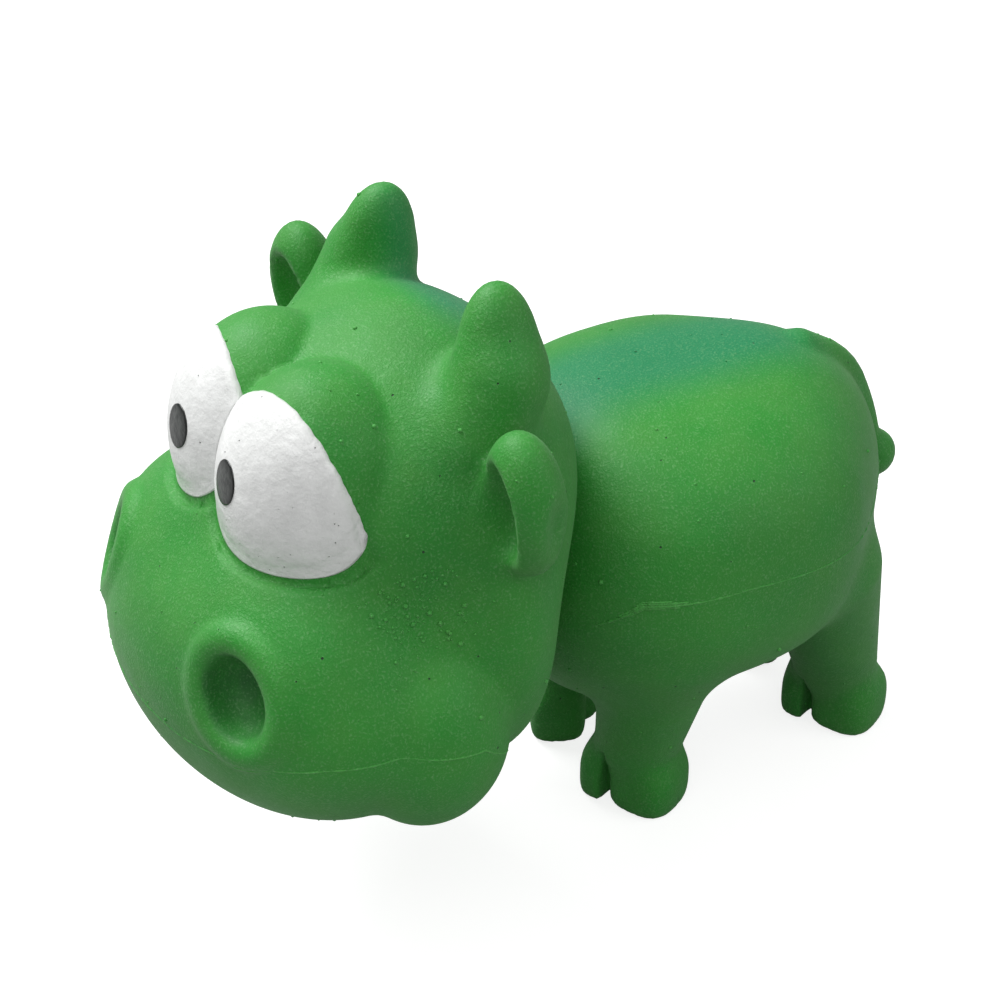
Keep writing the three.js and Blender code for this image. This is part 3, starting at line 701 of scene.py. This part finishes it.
def latexMaterial(name, look):
    rough = look["rough"]
    material, tree, shader = newMaterial(
        name, Roughness=rough, Specular_IOR_Level=look["specular"], Sheen_Weight=look["sheen"],
        Sheen_Roughness=look["sheenRough"], Sheen_Tint=look["sheenTint"],
    )
    place = objectPlace(tree)
    broad = spread(tree, noiseValue(tree, place, look["broadScale"], 2.0), 0.35, 0.65)
    patches = spread(tree, noiseValue(tree, place, look["patchScale"], 4.0, 0.6), 0.35, 0.70)
    fine = noiseValue(tree, place, look["grainScale"], 2.0, 0.6)
    pits = pinholes(tree, place, *look["pits"])
    # The smudge attribute mixes dirt on the crown with painted shade inside the nostrils
    dirtAndShade = maths(tree, "MULTIPLY", attributeValue(tree, "smudgeAndShade"), patches)
    colour = mixColour(tree, broad, look["green"], look["deepGreen"])
    colour = mixColour(tree, maths(tree, "MULTIPLY", patches, look["oliveShare"]), colour, look["oliveGreen"])
    colour = mixColour(tree, attributeValue(tree, "dye"), colour, look["dye"])
    colour = mixColour(tree, dirtAndShade, colour, look["smudgeAndShade"])
    dust = spread(tree, fine, *look["powderFrom"], 0.0, look["powderShare"])
    colour = mixColour(tree, dust, colour, look["powder"])
    # Painted shade: the middle of each pinhole is darkened, as shade falls in a tiny hole
    colour = mixColour(tree, spread(tree, pits, 0.0, look["pitEdge"]), colour, look["pitShade"])
    roughness = spread(tree, patches, 0.0, 1.0, rough - look["smoother"], rough + look["rougher"])
    tree.links.new(roughness, shader.inputs["Roughness"])
    height = maths(tree, "SUBTRACT", fine, maths(tree, "MULTIPLY", pits, look["pitDepth"]))
    waves = bumpNormal(tree, noiseValue(tree, place, look["waveScale"], 3.0), look["waveHeight"])
    dressShader(tree, shader, colour, bumpNormal(tree, height, look["grainHeight"], waves))
    return material


eyeWhiteLook = {
    "white": (0.77, 0.78, 0.77, 1),
    "grey": (0.66, 0.67, 0.66, 1),
    "pitShade": (0.20, 0.22, 0.20, 1),
    "rough": 0.33,
    "mottleScale": 260.0,
    "pits": (620.0, 0.11, 0.42),
    "pitEdge": 0.4,
    "pitShare": 0.85,
    "pitDepth": 1.2,
    "waveScale": 420.0,
    "waveHeight": 0.00030,
}


def eyeWhiteMaterial(look):
    material, tree, shader = newMaterial("eyeWhite", Roughness=look["rough"])
    place = objectPlace(tree)
    mottle = spread(tree, noiseValue(tree, place, look["mottleScale"], 4.0, 0.65), 0.3, 0.7)
    pits = pinholes(tree, place, *look["pits"])
    colour = mixColour(tree, mottle, look["white"], look["grey"])
    pitted = spread(tree, pits, 0.0, look["pitEdge"], 0.0, look["pitShare"])
    # Painted shade: the pinholes in the white paint are greyed at their middles, as shade falls in them
    colour = mixColour(tree, pitted, colour, look["pitShade"])
    waves = noiseValue(tree, place, look["waveScale"], 4.0, 0.6)
    height = maths(tree, "SUBTRACT", waves, maths(tree, "MULTIPLY", pits, look["pitDepth"]))
    dressShader(tree, shader, colour, bumpNormal(tree, height, look["waveHeight"]))
    return material


pupilLook = {
    "black": (0.020, 0.023, 0.022, 1),
    "grey": (0.050, 0.056, 0.052, 1),
    "rim": (0.008, 0.010, 0.009, 1),
    "rimFrom": (0.62, 0.9),
    "rough": 0.30,
    "streakScale": 900.0,
    "streakHeight": 0.00004,
}


def pupilMaterial(look):
    material, tree, shader = newMaterial("pupilBlack", Roughness=look["rough"])
    streaks = spread(tree, noiseValue(tree, objectPlace(tree), look["streakScale"], 3.0), 0.35, 0.65)
    rim = spread(tree, attributeValue(tree, "rim"), *look["rimFrom"])
    colour = mixColour(tree, rim, mixColour(tree, streaks, look["black"], look["grey"]), look["rim"])
    dressShader(tree, shader, colour, bumpNormal(tree, streaks, look["streakHeight"]))
    return material


plasticLook = {
    "shade": (0.72, 0.70, 0.62, 1),
    "light": (0.80, 0.79, 0.73, 1),
    "rough": 0.42,
    "cloudScale": 180.0,
    "grainScale": 2400.0,
    "grainHeight": 0.00004,
}


def plasticMaterial(look):
    material, tree, shader = newMaterial("squeakerPlastic", Roughness=look["rough"])
    place = objectPlace(tree)
    cloud = spread(tree, noiseValue(tree, place, look["cloudScale"], 3.0), 0.3, 0.7)
    grain = noiseValue(tree, place, look["grainScale"], 2.0)
    colour = mixColour(tree, cloud, look["shade"], look["light"])
    dressShader(tree, shader, colour, bumpNormal(tree, grain, look["grainHeight"]))
    return material


brassLook = {
    "shade": (0.72, 0.52, 0.20, 1),
    "light": (0.82, 0.64, 0.30, 1),
    "rough": 0.32,
    "brushScale": (4000.0, 4000.0, 160.0),
    "brushHeight": 0.00002,
}


def brassMaterial(look):
    material, tree, shader = newMaterial("reedBrass", Roughness=look["rough"], Metallic=1.0)
    stretched = addNode(tree, "ShaderNodeMapping", {"Vector": objectPlace(tree), "Scale": look["brushScale"]})
    inputs = {"Vector": stretched.outputs["Vector"], "Scale": 1.0}
    brushed = addNode(tree, "ShaderNodeTexNoise", inputs).outputs["Fac"]
    colour = mixColour(tree, brushed, look["shade"], look["light"])
    dressShader(tree, shader, colour, bumpNormal(tree, brushed, look["brushHeight"]))
    return material


fibreLook = {
    "shade": (0.70, 0.70, 0.67, 1),
    "light": (0.86, 0.86, 0.84, 1),
    "rough": 0.9,
    "sheen": 0.3,
    "strandScale": 900.0,
    "strandHeight": 0.0006,
}


def fibreMaterial(look):
    material, tree, shader = newMaterial("fibreWhite", Roughness=look["rough"], Sheen_Weight=look["sheen"])
    strands = noiseValue(tree, objectPlace(tree), look["strandScale"], 6.0, 0.7)
    colour = mixColour(tree, strands, look["shade"], look["light"])
    dressShader(tree, shader, colour, bumpNormal(tree, strands, look["strandHeight"]))
    return material


latexGreen = latexMaterial("latexGreen", latexLook)
latexFlashPaleLit = latexMaterial("latexFlashPaleLit", flashPaleLitLook)
eyeWhite = eyeWhiteMaterial(eyeWhiteLook)
pupilBlack = pupilMaterial(pupilLook)
squeakerPlastic = plasticMaterial(plasticLook)
reedBrass = brassMaterial(brassLook)
fibreWhite = fibreMaterial(fibreLook)
print("materials ready")

# Paint: it covers the eyeball and runs a little past the lid's plane, further at the outer corner
coat = {
    "lift": 0.00010,
    "depth": 0.00080,
    "sink": 0.00050,
    "sinkFrom": (0.00005, 0.00050),
    "rings": 30,
    "spokes": 200,
    "facing": (0.30, -0.90, -0.10),
    "widest": 150,
    "reach": 2,
    "edgeRounds": 18,
    "overLid": (0.0006, 0.0018),
    "overFrom": (0.1040, 0.0860),
    "ragged": 0.00004,
    "raggedWaves": (1700, 3900, 2300),
    "middleGap": 0.00003,
    "pupilRings": 10,
    "pupilSpokes": 64,
    "pupilReach": 1.5,
    "pupilLift": 0.00025,
}


def paintArea(x, y, z):
    slow, quick, across = coat["raggedWaves"]
    ragged = coat["ragged"] * (np.sin(z * slow) + np.sin(z * quick + 1) + np.sin(x * across))
    down = smoothStep(-z, -coat["overFrom"][0], -coat["overFrom"][1])
    over = coat["overLid"][0] + down * (coat["overLid"][1] - coat["overLid"][0]) + ragged
    onEye = np.minimum(eyeForm(x, y, z), lidForm(x, y, z)) - eye["paintOver"]
    return np.maximum(onEye, -lidSide(x, y, z) - over)


# Skin: one hollow moulding, sunk a little under the paint, with a hole for the plug in the belly
toyLow = np.array(cadBox[0]) - formOrigin - skinSettings["margin"]
toyHigh = np.array(cadBox[1]) - formOrigin + skinSettings["margin"]
skinPoints, skinFaces = surfaceNet(skinForm, toyLow, toyHigh, skinSettings["facet"])
slopes = slopeOf(skinForm, skinPoints, skinSettings["facet"])
slopes /= np.linalg.norm(slopes, axis=1)[:, None]
underPaint = smoothStep(-paintArea(abs(skinPoints[:, 0]), *skinPoints.T[1:]), *coat["sinkFrom"])
skinPoints = skinPoints - slopes * (underPaint * coat["sink"])[:, None]
latexSkin = formObject("latexSkin", skinPoints, skinFaces, latexGreen)
print("skin surface", len(skinFaces), "faces")

# Hollow: the inside of the wall, kept clear of a boss round the plug's hole
plug = {
    "flangeRadius": (plugHigh.x - plugLow.x) / 2,
    "flangeBottom": plugLow.z,
    "flangeThick": 0.0016,
    "bodyShare": 0.75,
    "gap": 0.0003,
    "bossWider": 0.004,
    "bossRound": 0.0005,
    "cutBelow": 0.016,
    "cutAbove": 0.004,
    "steps": 64,
}
flangeSeat = plug["flangeBottom"] + plug["flangeThick"] + plug["gap"]
wallTop = flangeSeat + skinSettings["wall"]
flangeHole = plug["flangeRadius"] + plug["gap"]
bodyHole = plug["flangeRadius"] * plug["bodyShare"] + plug["gap"]


def plugRoom(x, y, z, top):
    return np.maximum(np.sqrt(x * x + y * y) - plug["flangeRadius"] - plug["bossWider"], z - top)


def hollowForm(x, y, z):
    inner = skinForm(x, y, z) + skinSettings["wall"]
    return cutSmooth(inner, plugRoom(x, y, z, wallTop), plug["bossRound"])


hollowPoints, hollowFaces = surfaceNet(hollowForm, toyLow, toyHigh, skinSettings["innerFacet"])
cutAway(latexSkin, formObject("hollow", hollowPoints, hollowFaces, latexGreen))
cutAway(latexSkin, revolved("plugHole", [
    (0, flangeSeat - plug["cutBelow"]),
    (flangeHole, flangeSeat - plug["cutBelow"]),
    (flangeHole, flangeSeat),
    (bodyHole, flangeSeat),
    (bodyHole, wallTop + plug["cutAbove"]),
    (0, wallTop + plug["cutAbove"]),
], plug["steps"], latexGreen))
shadeSmooth(latexSkin.data)

# Airbrushed dye from the crown along the spine, a dirty smudge on the crown, and painted shade darkening the
# nostril recesses
dye = {
    "middleX": -0.0045,
    "halfWidth": 0.0085,
    "soft": 0.0090,
    "back": (-0.054, 0.018),
    "level": 0.076,
    "strength": 0.95,
}
smudgeAndShade = {
    "at": (0.0060, -0.0600, 0.1080),
    "reach": 0.0130,
    "strength": 0.45,
    "nostrilEdge": (0.0001, 0.0007),
    "nostrilShade": 0.90,
}


def dyeShare(x, y, z):
    soft, (backFrom, backTo) = dye["soft"], dye["back"]
    across = 1 - smoothStep(abs(x - dye["middleX"]), dye["halfWidth"] - soft / 2, dye["halfWidth"] + soft)
    along = smoothStep(y, backFrom - soft, backFrom) * (1 - smoothStep(y, backTo - soft, backTo + soft))
    above = smoothStep(z, dye["level"] - soft, dye["level"])
    return across * along * above * dye["strength"]


def smudgeAndShadeShare(points):
    x, y, z = points.T
    # Painted shade: the inside of each nostril recess is darkened as if shade fell there
    nostrilShade = 1 - smoothStep(recessForm(abs(x), y, z), *smudgeAndShade["nostrilEdge"])
    onCrown = 1 - smoothStep(np.linalg.norm(points - smudgeAndShade["at"], axis=1), 0, smudgeAndShade["reach"])
    return np.maximum(onCrown * smudgeAndShade["strength"], nostrilShade * smudgeAndShade["nostrilShade"])


addAttribute(latexSkin, "dye", dyeShare(*formPoints(latexSkin).T))
addAttribute(latexSkin, "smudgeAndShade", smudgeAndShadeShare(formPoints(latexSkin)))
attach(latexSkin, "toy")
skinNodes = ["torso_skin", "head_skin", "tail"]
for part in ("fore_leg", "hind_leg", "horn", "ear"):
    skinNodes += [part + "_left", part + "_right"]
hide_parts(*skinNodes)
print("latex skin", len(latexSkin.data.polygons), "faces")


# Where rays from inside leave the skin, or a surface that lies offset outside it, found by halving
def alongRay(start, direction, reach, offset, rounds=26):
    near, far = np.zeros(len(direction)), np.full(len(direction), reach)
    for _ in range(rounds):
        middle = (near + far) / 2
        points = start + direction * middle[:, None]
        outside = skinForm(*points.T) > offset
        far, near = np.where(outside, middle, far), np.where(outside, near, middle)
    return start + direction * ((near + far) / 2)[:, None]


# Faces of a disc made of one middle point and rings round it
def discFaces(layers, spokes):
    faces = [(0, 1 + s, 1 + (s + 1) % spokes) for s in range(spokes)]
    for ring in range(layers - 1):
        start = 1 + ring * spokes
        for s in range(spokes):
            t = (s + 1) % spokes
            faces.append((start + s, start + spokes + s, start + spokes + t, start + t))
    return faces


# Two discs joined at their rims into a closed coat
def closedPatch(outer, inner, spokes):
    layers = (len(outer) - 1) // spokes
    front = discFaces(layers, spokes)
    back = [tuple(n + len(outer) for n in reversed(face)) for face in front]
    last = 1 + (layers - 1) * spokes
    rim = []
    for s in range(spokes):
        a, b = last + s, last + (s + 1) % spokes
        rim.append((a, a + len(outer), b + len(outer), b))
    return np.concatenate([outer, inner]), front + back + rim


def mirroredPiece(name, points, faces, material, sign):
    if sign < 0:
        faces = [tuple(reversed(face)) for face in faces]
    return formObject(name, points * [sign, 1, 1], faces, material)


def paintEdge(x, y, z):
    return np.maximum(paintArea(x, y, z), coat["middleGap"] - x)


# Eye coats: rays fan out from the middle of the eye as far as the paint goes
def eyeCoatMesh():
    centre, facing = np.array(eye["at"]), np.array(coat["facing"])
    facing = facing / np.linalg.norm(facing)
    sideways = np.cross((0, 0, 1), facing)
    sideways = sideways / np.linalg.norm(sideways)
    upwards = np.cross(facing, sideways)
    spin = np.linspace(0, 2 * math.pi, coat["spokes"], endpoint=False)
    lean = np.cos(spin)[:, None] * sideways + np.sin(spin)[:, None] * upwards
    reach = max(eye["half"]) * coat["reach"]

    def ray(angle, offset):
        direction = np.cos(angle)[:, None] * facing + np.sin(angle)[:, None] * lean
        return alongRay(centre, direction, reach, offset)

    low, high = np.zeros(len(spin)), np.full(len(spin), math.radians(coat["widest"]))
    for _ in range(coat["edgeRounds"]):
        middle = (low + high) / 2
        off = paintEdge(*ray(middle, 0).T) > 0
        high, low = np.where(off, middle, high), np.where(off, low, middle)
    edge = (low + high) / 2
    layers = []
    for offset in (coat["lift"], -coat["depth"]):
        pole = alongRay(centre, facing[None], reach, offset)
        rings = [ray(edge * n / coat["rings"], offset) for n in range(1, coat["rings"] + 1)]
        layers.append(np.concatenate([pole] + rings))
    return closedPatch(*layers, coat["spokes"])


# Pupils: an oval laid on the eye from straight in front
def pupilMesh():
    (cx, cz), (hx, hz) = eye["pupilAt"], eye["pupilHalf"]
    spokes, rings = coat["pupilSpokes"], coat["pupilRings"]
    spin = np.linspace(0, 2 * math.pi, spokes, endpoint=False)
    shares = np.concatenate([[0], np.repeat(np.arange(1, rings + 1) / rings, spokes)])
    angles = np.concatenate([[0], np.tile(spin, rings)])
    xs, zs = cx + shares * hx * np.cos(angles), cz + shares * hz * np.sin(angles)
    starts = np.stack([xs, np.full(len(shares), eye["at"][1]), zs], 1)
    forwards = np.tile((0.0, -1.0, 0.0), (len(starts), 1))
    reach = eye["half"][1] * coat["pupilReach"]
    layers = [alongRay(starts, forwards, reach, lift) for lift in (coat["pupilLift"], -coat["lift"])]
    points, faces = closedPatch(*layers, spokes)
    return points, faces, np.concatenate([shares, shares])


coatPoints, coatFaces = eyeCoatMesh()
pupilPoints, pupilFaces, pupilRims = pupilMesh()
for sideName, sign in (("Left", 1), ("Right", -1)):
    node = sideName.lower()
    eyeCoat = mirroredPiece("eyeCoat" + sideName, coatPoints, coatFaces, eyeWhite, sign)
    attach(eyeCoat, "toy")
    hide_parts("eye_white_" + node)
    pupilCoat = mirroredPiece("pupilCoat" + sideName, pupilPoints, pupilFaces, pupilBlack, sign)
    addAttribute(pupilCoat, "rim", pupilRims)
    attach(pupilCoat, "toy")
    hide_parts("pupil_" + node)
print("eyes painted")


# Geometry Nodes trees
def treeWith(name, inputs):
    tree = bpy.data.node_groups.new(name, "GeometryNodeTree")
    tree.interface.new_socket("Geometry", in_out="INPUT", socket_type="NodeSocketGeometry")
    for key, value in inputs.items():
        kind = "NodeSocketInt" if isinstance(value, int) else "NodeSocketFloat"
        tree.interface.new_socket(key, in_out="INPUT", socket_type=kind)
    tree.interface.new_socket("Geometry", in_out="OUTPUT", socket_type="NodeSocketGeometry")
    return tree, addNode(tree, "NodeGroupInput").outputs


def namedValue(tree, name):
    node = addNode(tree, "GeometryNodeInputNamedAttribute", {"Name": name}, data_type="FLOAT")
    return node.outputs["Attribute"]


def endTree(tree, geometry, material):
    smooth = addNode(tree, "GeometryNodeSetShadeSmooth", {"Geometry": geometry})
    real = addNode(tree, "GeometryNodeRealizeInstances", {"Geometry": smooth.outputs["Geometry"]})
    dressed = addNode(tree, "GeometryNodeSetMaterial", {"Geometry": real.outputs["Geometry"]})
    dressed.inputs["Material"].default_value = material
    addNode(tree, "NodeGroupOutput", {"Geometry": dressed.outputs["Geometry"]})


def runTree(piece, tree, inputs):
    nodes = piece.modifiers.new("nodes", "NODES")
    nodes.node_group = tree
    for item in tree.interface.items_tree:
        if item.in_out == "INPUT" and item.name in inputs:
            nodes[item.identifier] = inputs[item.name]
    return applied(piece)


# Parting bead: a fine ridge where the mould's halves met, with a torn flash on the left flank
parting = {
    "heightByY": (
        (-0.112, 0.0545), (-0.097, 0.0580), (-0.086, 0.0586), (-0.0725, 0.0562), (-0.0656, 0.0498),
        (-0.040, 0.0545), (-0.034, 0.0600), (-0.017, 0.0611), (0.002, 0.0594), (0.023, 0.0585),
    ),
    "headMiddleY": -0.090,
    "headEndY": -0.0660,
    "headSpan": 0.8,
    "bodyMiddleY": -0.012,
    "bodyStartY": -0.0400,
    "spanGap": 0.2,
    "steps": 720,
    "rounds": 4,
    "reach": 0.055,
    "sunk": 0.00006,
    "torn": (-0.0385, -0.0262),
    "tornSwell": 1.9,
    "strandLifts": (0.00045, -0.00040, 0.00080),
    "strandInset": 0.0012,
    "strandSwell": 1.52,
}
partingInputs = {"Radius": 0.00016, "Raggedness": 0.60, "Grain": 900.0}


# Points on the skin round a middle, at the height that the mould's line has at their own y
def partingLoop(middleY, span, between, lift=0):
    spin = np.linspace(*span, parting["steps"])
    direction = np.stack([np.sin(spin), -np.cos(spin), np.zeros(len(spin))], 1)
    stationY, height = np.array(parting["heightByY"]).T
    middle, y = np.zeros(len(spin)), np.full(len(spin), middleY)
    for _ in range(parting["rounds"]):
        start = np.stack([middle, middle + middleY, np.interp(y, stationY, height) + lift], 1)
        points = alongRay(start, direction, parting["reach"], -parting["sunk"])
        y = points[:, 1]
    return points[(y > between[0]) & (y < between[1])]


def partingPiece():
    tornFrom, tornTo = parting["torn"]
    headTurn, gap = math.pi * parting["headSpan"], parting["spanGap"]
    headRun = partingLoop(parting["headMiddleY"], (-headTurn, headTurn), (-math.inf, parting["headEndY"]))
    bodySpan = (gap, math.pi * 2 - gap)
    bodyRun = partingLoop(parting["bodyMiddleY"], bodySpan, (parting["bodyStartY"], math.inf))
    torn = (bodyRun[:, 0] > 0) & (bodyRun[:, 1] > tornFrom) & (bodyRun[:, 1] < tornTo)
    runs = [headRun, bodyRun]
    swells = [np.ones(len(headRun)), np.where(torn, parting["tornSwell"], 1.0)]
    for n, lift in enumerate(parting["strandLifts"]):
        inset = parting["strandInset"] * (n + 1)
        between = (tornFrom + inset, tornTo - inset)
        strand = partingLoop(parting["bodyMiddleY"], (gap, math.pi - gap), between, lift)
        runs.append(strand)
        swells.append(np.full(len(strand), parting["strandSwell"]))
    edges, start = [], 0
    for run in runs:
        edges += [(start + n, start + n + 1) for n in range(len(run) - 1)]
        start += len(run)
    mesh = bpy.data.meshes.new("partingBead")
    mesh.from_pydata((np.concatenate(runs) + formOrigin).tolist(), edges, [])
    piece = newObject("partingBead", mesh)
    addAttribute(piece, "swell", np.concatenate(swells))
    return piece


def partingTree():
    tree, given = treeWith("partingBeadTree", partingInputs)
    place = addNode(tree, "GeometryNodeInputPosition").outputs["Position"]
    grain = noiseValue(tree, place, given["Grain"], 2.0)
    least = maths(tree, "SUBTRACT", 1.0, given["Raggedness"])
    most = maths(tree, "ADD", 1.0, given["Raggedness"])
    ragged = maths(tree, "MULTIPLY", given["Radius"], spread(tree, grain, 0.3, 0.7, least, most))
    radius = maths(tree, "MULTIPLY", ragged, namedValue(tree, "swell"))
    curve = addNode(tree, "GeometryNodeMeshToCurve", {"Mesh": given["Geometry"]}).outputs["Curve"]
    circle = addNode(tree, "GeometryNodeCurvePrimitiveCircle", {"Resolution": 6, "Radius": 1.0})
    path = {"Curve": curve, "Profile Curve": circle.outputs["Curve"], "Scale": radius, "Fill Caps": True}
    tube = addNode(tree, "GeometryNodeCurveToMesh", path)
    endTree(tree, tube.outputs["Mesh"], latexFlashPaleLit)
    return tree


# Cast bubbles: beads of latex where the mould trapped air, thickest beside the left eye
bubbles = {
    "clusters": (((0.0335, -0.0775, 0.0790), 0.0130, 1.0), ((0.0235, -0.1010, 0.0580), 0.0050, 0.8)),
    "everywhere": 0.006,
    "outerWithin": 0.0004,
    "lowest": 0.001,
}
bubbleInputs = {"Density": 600000.0, "Smallest": 0.00020, "Largest": 0.00050, "Seed": 7}


# How thick the bubbles lie at each point: only outside, and not on the soles
def bubbleShare(points):
    share = np.full(len(points), bubbles["everywhere"])
    for at, reach, most in bubbles["clusters"]:
        share = share + most * (1 - smoothStep(np.linalg.norm(points - at, axis=1), 0, reach))
    outer = abs(skinForm(*points.T)) < bubbles["outerWithin"]
    return share * (outer & (points[:, 2] > bubbles["lowest"]))


def bubbleTree():
    tree, given = treeWith("castBubbleTree", bubbleInputs)
    density = maths(tree, "MULTIPLY", namedValue(tree, "bubbles"), given["Density"])
    spots = {"Mesh": given["Geometry"], "Density": density, "Seed": given["Seed"]}
    points = addNode(tree, "GeometryNodeDistributePointsOnFaces", spots).outputs["Points"]
    random = addNode(tree, "FunctionNodeRandomValue", {8: given["Seed"]}, data_type="FLOAT")  # 8 is its seed
    rare = maths(tree, "POWER", random.outputs[1], 3.0)  # so that large beads are few
    size = spread(tree, rare, 0.0, 1.0, given["Smallest"], given["Largest"])
    bead = addNode(tree, "GeometryNodeMeshIcoSphere", {"Radius": 1.0, "Subdivisions": 1}).outputs["Mesh"]
    beads = {"Points": points, "Instance": bead, "Scale": size}
    placed = addNode(tree, "GeometryNodeInstanceOnPoints", beads)
    endTree(tree, placed.outputs["Instances"], latexFlashPaleLit)
    return tree


partingBead = runTree(partingPiece(), partingTree(), partingInputs)
castBubbles = newObject("castBubbles", latexSkin.data.copy())
addAttribute(castBubbles, "bubbles", bubbleShare(formPoints(castBubbles)))
runTree(castBubbles, bubbleTree(), bubbleInputs)
for detail in (partingBead, castBubbles):
    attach(detail, "toy")
print("parting bead and bubbles", len(partingBead.data.polygons), len(castBubbles.data.polygons), "faces")


# Stuffing: lumpy fibre that fills the hollow and leaves room for the plug
stuffing = {"facet": 0.0024, "lumpHeight": 0.0006, "lumpScale": 420.0, "overPlug": 0.003}


def stuffingForm(x, y, z):
    inner = skinForm(x, y, z) + skinSettings["wall"] + skinSettings["fibreClear"]
    height, scale = stuffing["lumpHeight"], stuffing["lumpScale"]
    lumps = np.sin(x * scale) * np.sin(y * scale + 1) * np.sin(z * scale + 2) * height
    return np.maximum(inner + height + lumps, -plugRoom(x, y, z, plugHigh.z + stuffing["overPlug"]))


stuffingPoints, stuffingFaces = surfaceNet(stuffingForm, toyLow, toyHigh, stuffing["facet"])
filling = formObject("fibreStuffing", stuffingPoints, stuffingFaces, fibreWhite)
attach(filling, "toy")
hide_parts("fibre_filling")

squeakerDress = {
    "squeaker_plug": squeakerPlastic,
    "squeaker_cap": squeakerPlastic,
    "reed_seat": squeakerPlastic,
    "reed_clip": squeakerPlastic,
    "squeaker_reed": reedBrass,
}
for node, material in squeakerDress.items():
    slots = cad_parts[node].data.materials
    slots.clear()
    slots.append(material)
print("stuffing and squeaker dressed")

# Camera at the photograph's angle, aimed at a point in the form's own frame
view = {
    "azimuth": 60.0,
    "elevation": 35.5,
    "distance": 0.450,
    "aim": (-0.0441, -0.0192, 0.0312),
    "lens": 81.0,
    "sensor": 36,
    "clip": (0.01, 20),
}
turn, rise = math.radians(view["azimuth"]), math.radians(view["elevation"])
backward = Vector((math.sin(turn) * math.cos(rise), -math.cos(turn) * math.cos(rise), math.sin(rise)))
rightward = Vector((math.cos(turn), math.sin(turn), 0))
upward = backward.cross(rightward)
aim = Vector(view["aim"]) + Vector(formOrigin)
cameraData = bpy.data.cameras.new("camera")
cameraData.lens, cameraData.sensor_width = view["lens"], view["sensor"]
cameraData.clip_start, cameraData.clip_end = view["clip"]
camera = newObject("camera", cameraData)
camera.location = aim + view["distance"] * backward
camera.rotation_euler = backward.to_track_quat("Z", "Y").to_euler()
bpy.context.scene.camera = camera

# Soft boxes, each placed by how far it stands to the camera's right, above and towards the camera
softBoxes = {
    "key": {"right": -0.34, "up": 0.58, "near": 0.16, "size": 0.45, "power": 6.6},
    "front": {"right": -0.15, "up": 0.25, "near": 0.75, "size": 0.60, "power": 2.2},
    "fill": {"right": 0.62, "up": 0.20, "near": 0.40, "size": 0.45, "power": 1.6},
}
toyMiddle = Vector([(a + b) / 2 for a, b in zip(cadBox[0], cadBox[1])])
for name, box in softBoxes.items():
    lampData = bpy.data.lights.new(name, "AREA")
    lampData.size, lampData.energy = box["size"], box["power"]
    lamp = newObject(name, lampData)
    lamp.location = toyMiddle + box["right"] * rightward + box["up"] * upward + box["near"] * backward
    lamp.rotation_euler = (lamp.location - toyMiddle).to_track_quat("Z", "Y").to_euler()
print("camera and soft boxes placed")

# Room: white to the camera, dimmer as a light, and a floor that keeps the toy's shadow
room = {"ambient": 0.26, "floorHalf": 3.0, "floorColour": (0.40, 0.40, 0.40, 1), "floorLift": 0.80}


def seenDirectly(tree):
    rays = addNode(tree, "ShaderNodeLightPath").outputs
    return maths(tree, "MAXIMUM", rays["Is Camera Ray"], rays["Is Transmission Ray"])


world = bpy.data.worlds.new("room")
bpy.context.scene.world = world
world.use_nodes = True
background = world.node_tree.nodes["Background"]
background.inputs["Color"].default_value = (1, 1, 1, 1)
brightness = spread(world.node_tree, seenDirectly(world.node_tree), 0.0, 1.0, room["ambient"], 1.0)
world.node_tree.links.new(brightness, background.inputs["Strength"])

floorMaterial, floorTree, floorShader = newMaterial(
    "paleFloor", Roughness=0.9, Base_Color=room["floorColour"], Specular_IOR_Level=0.0
)
lift = maths(floorTree, "MULTIPLY", seenDirectly(floorTree), room["floorLift"])
glow = addNode(floorTree, "ShaderNodeEmission", {"Color": (1, 1, 1, 1), "Strength": lift})
shades = {0: floorShader.outputs["BSDF"], 1: glow.outputs["Emission"]}
both = addNode(floorTree, "ShaderNodeAddShader", shades)
floorTree.links.new(both.outputs["Shader"], floorTree.nodes["Material Output"].inputs["Surface"])
corners = [(x * room["floorHalf"], y * room["floorHalf"], 0) for x, y in ((-1, -1), (1, -1), (1, 1), (-1, 1))]
floorMesh = bpy.data.meshes.new("floor")
floorMesh.from_pydata(corners, [], [(0, 1, 2, 3)])
floorMesh.materials.append(floorMaterial)
newObject("floor", floorMesh)

bpy.context.scene.view_settings.view_transform = "Standard"
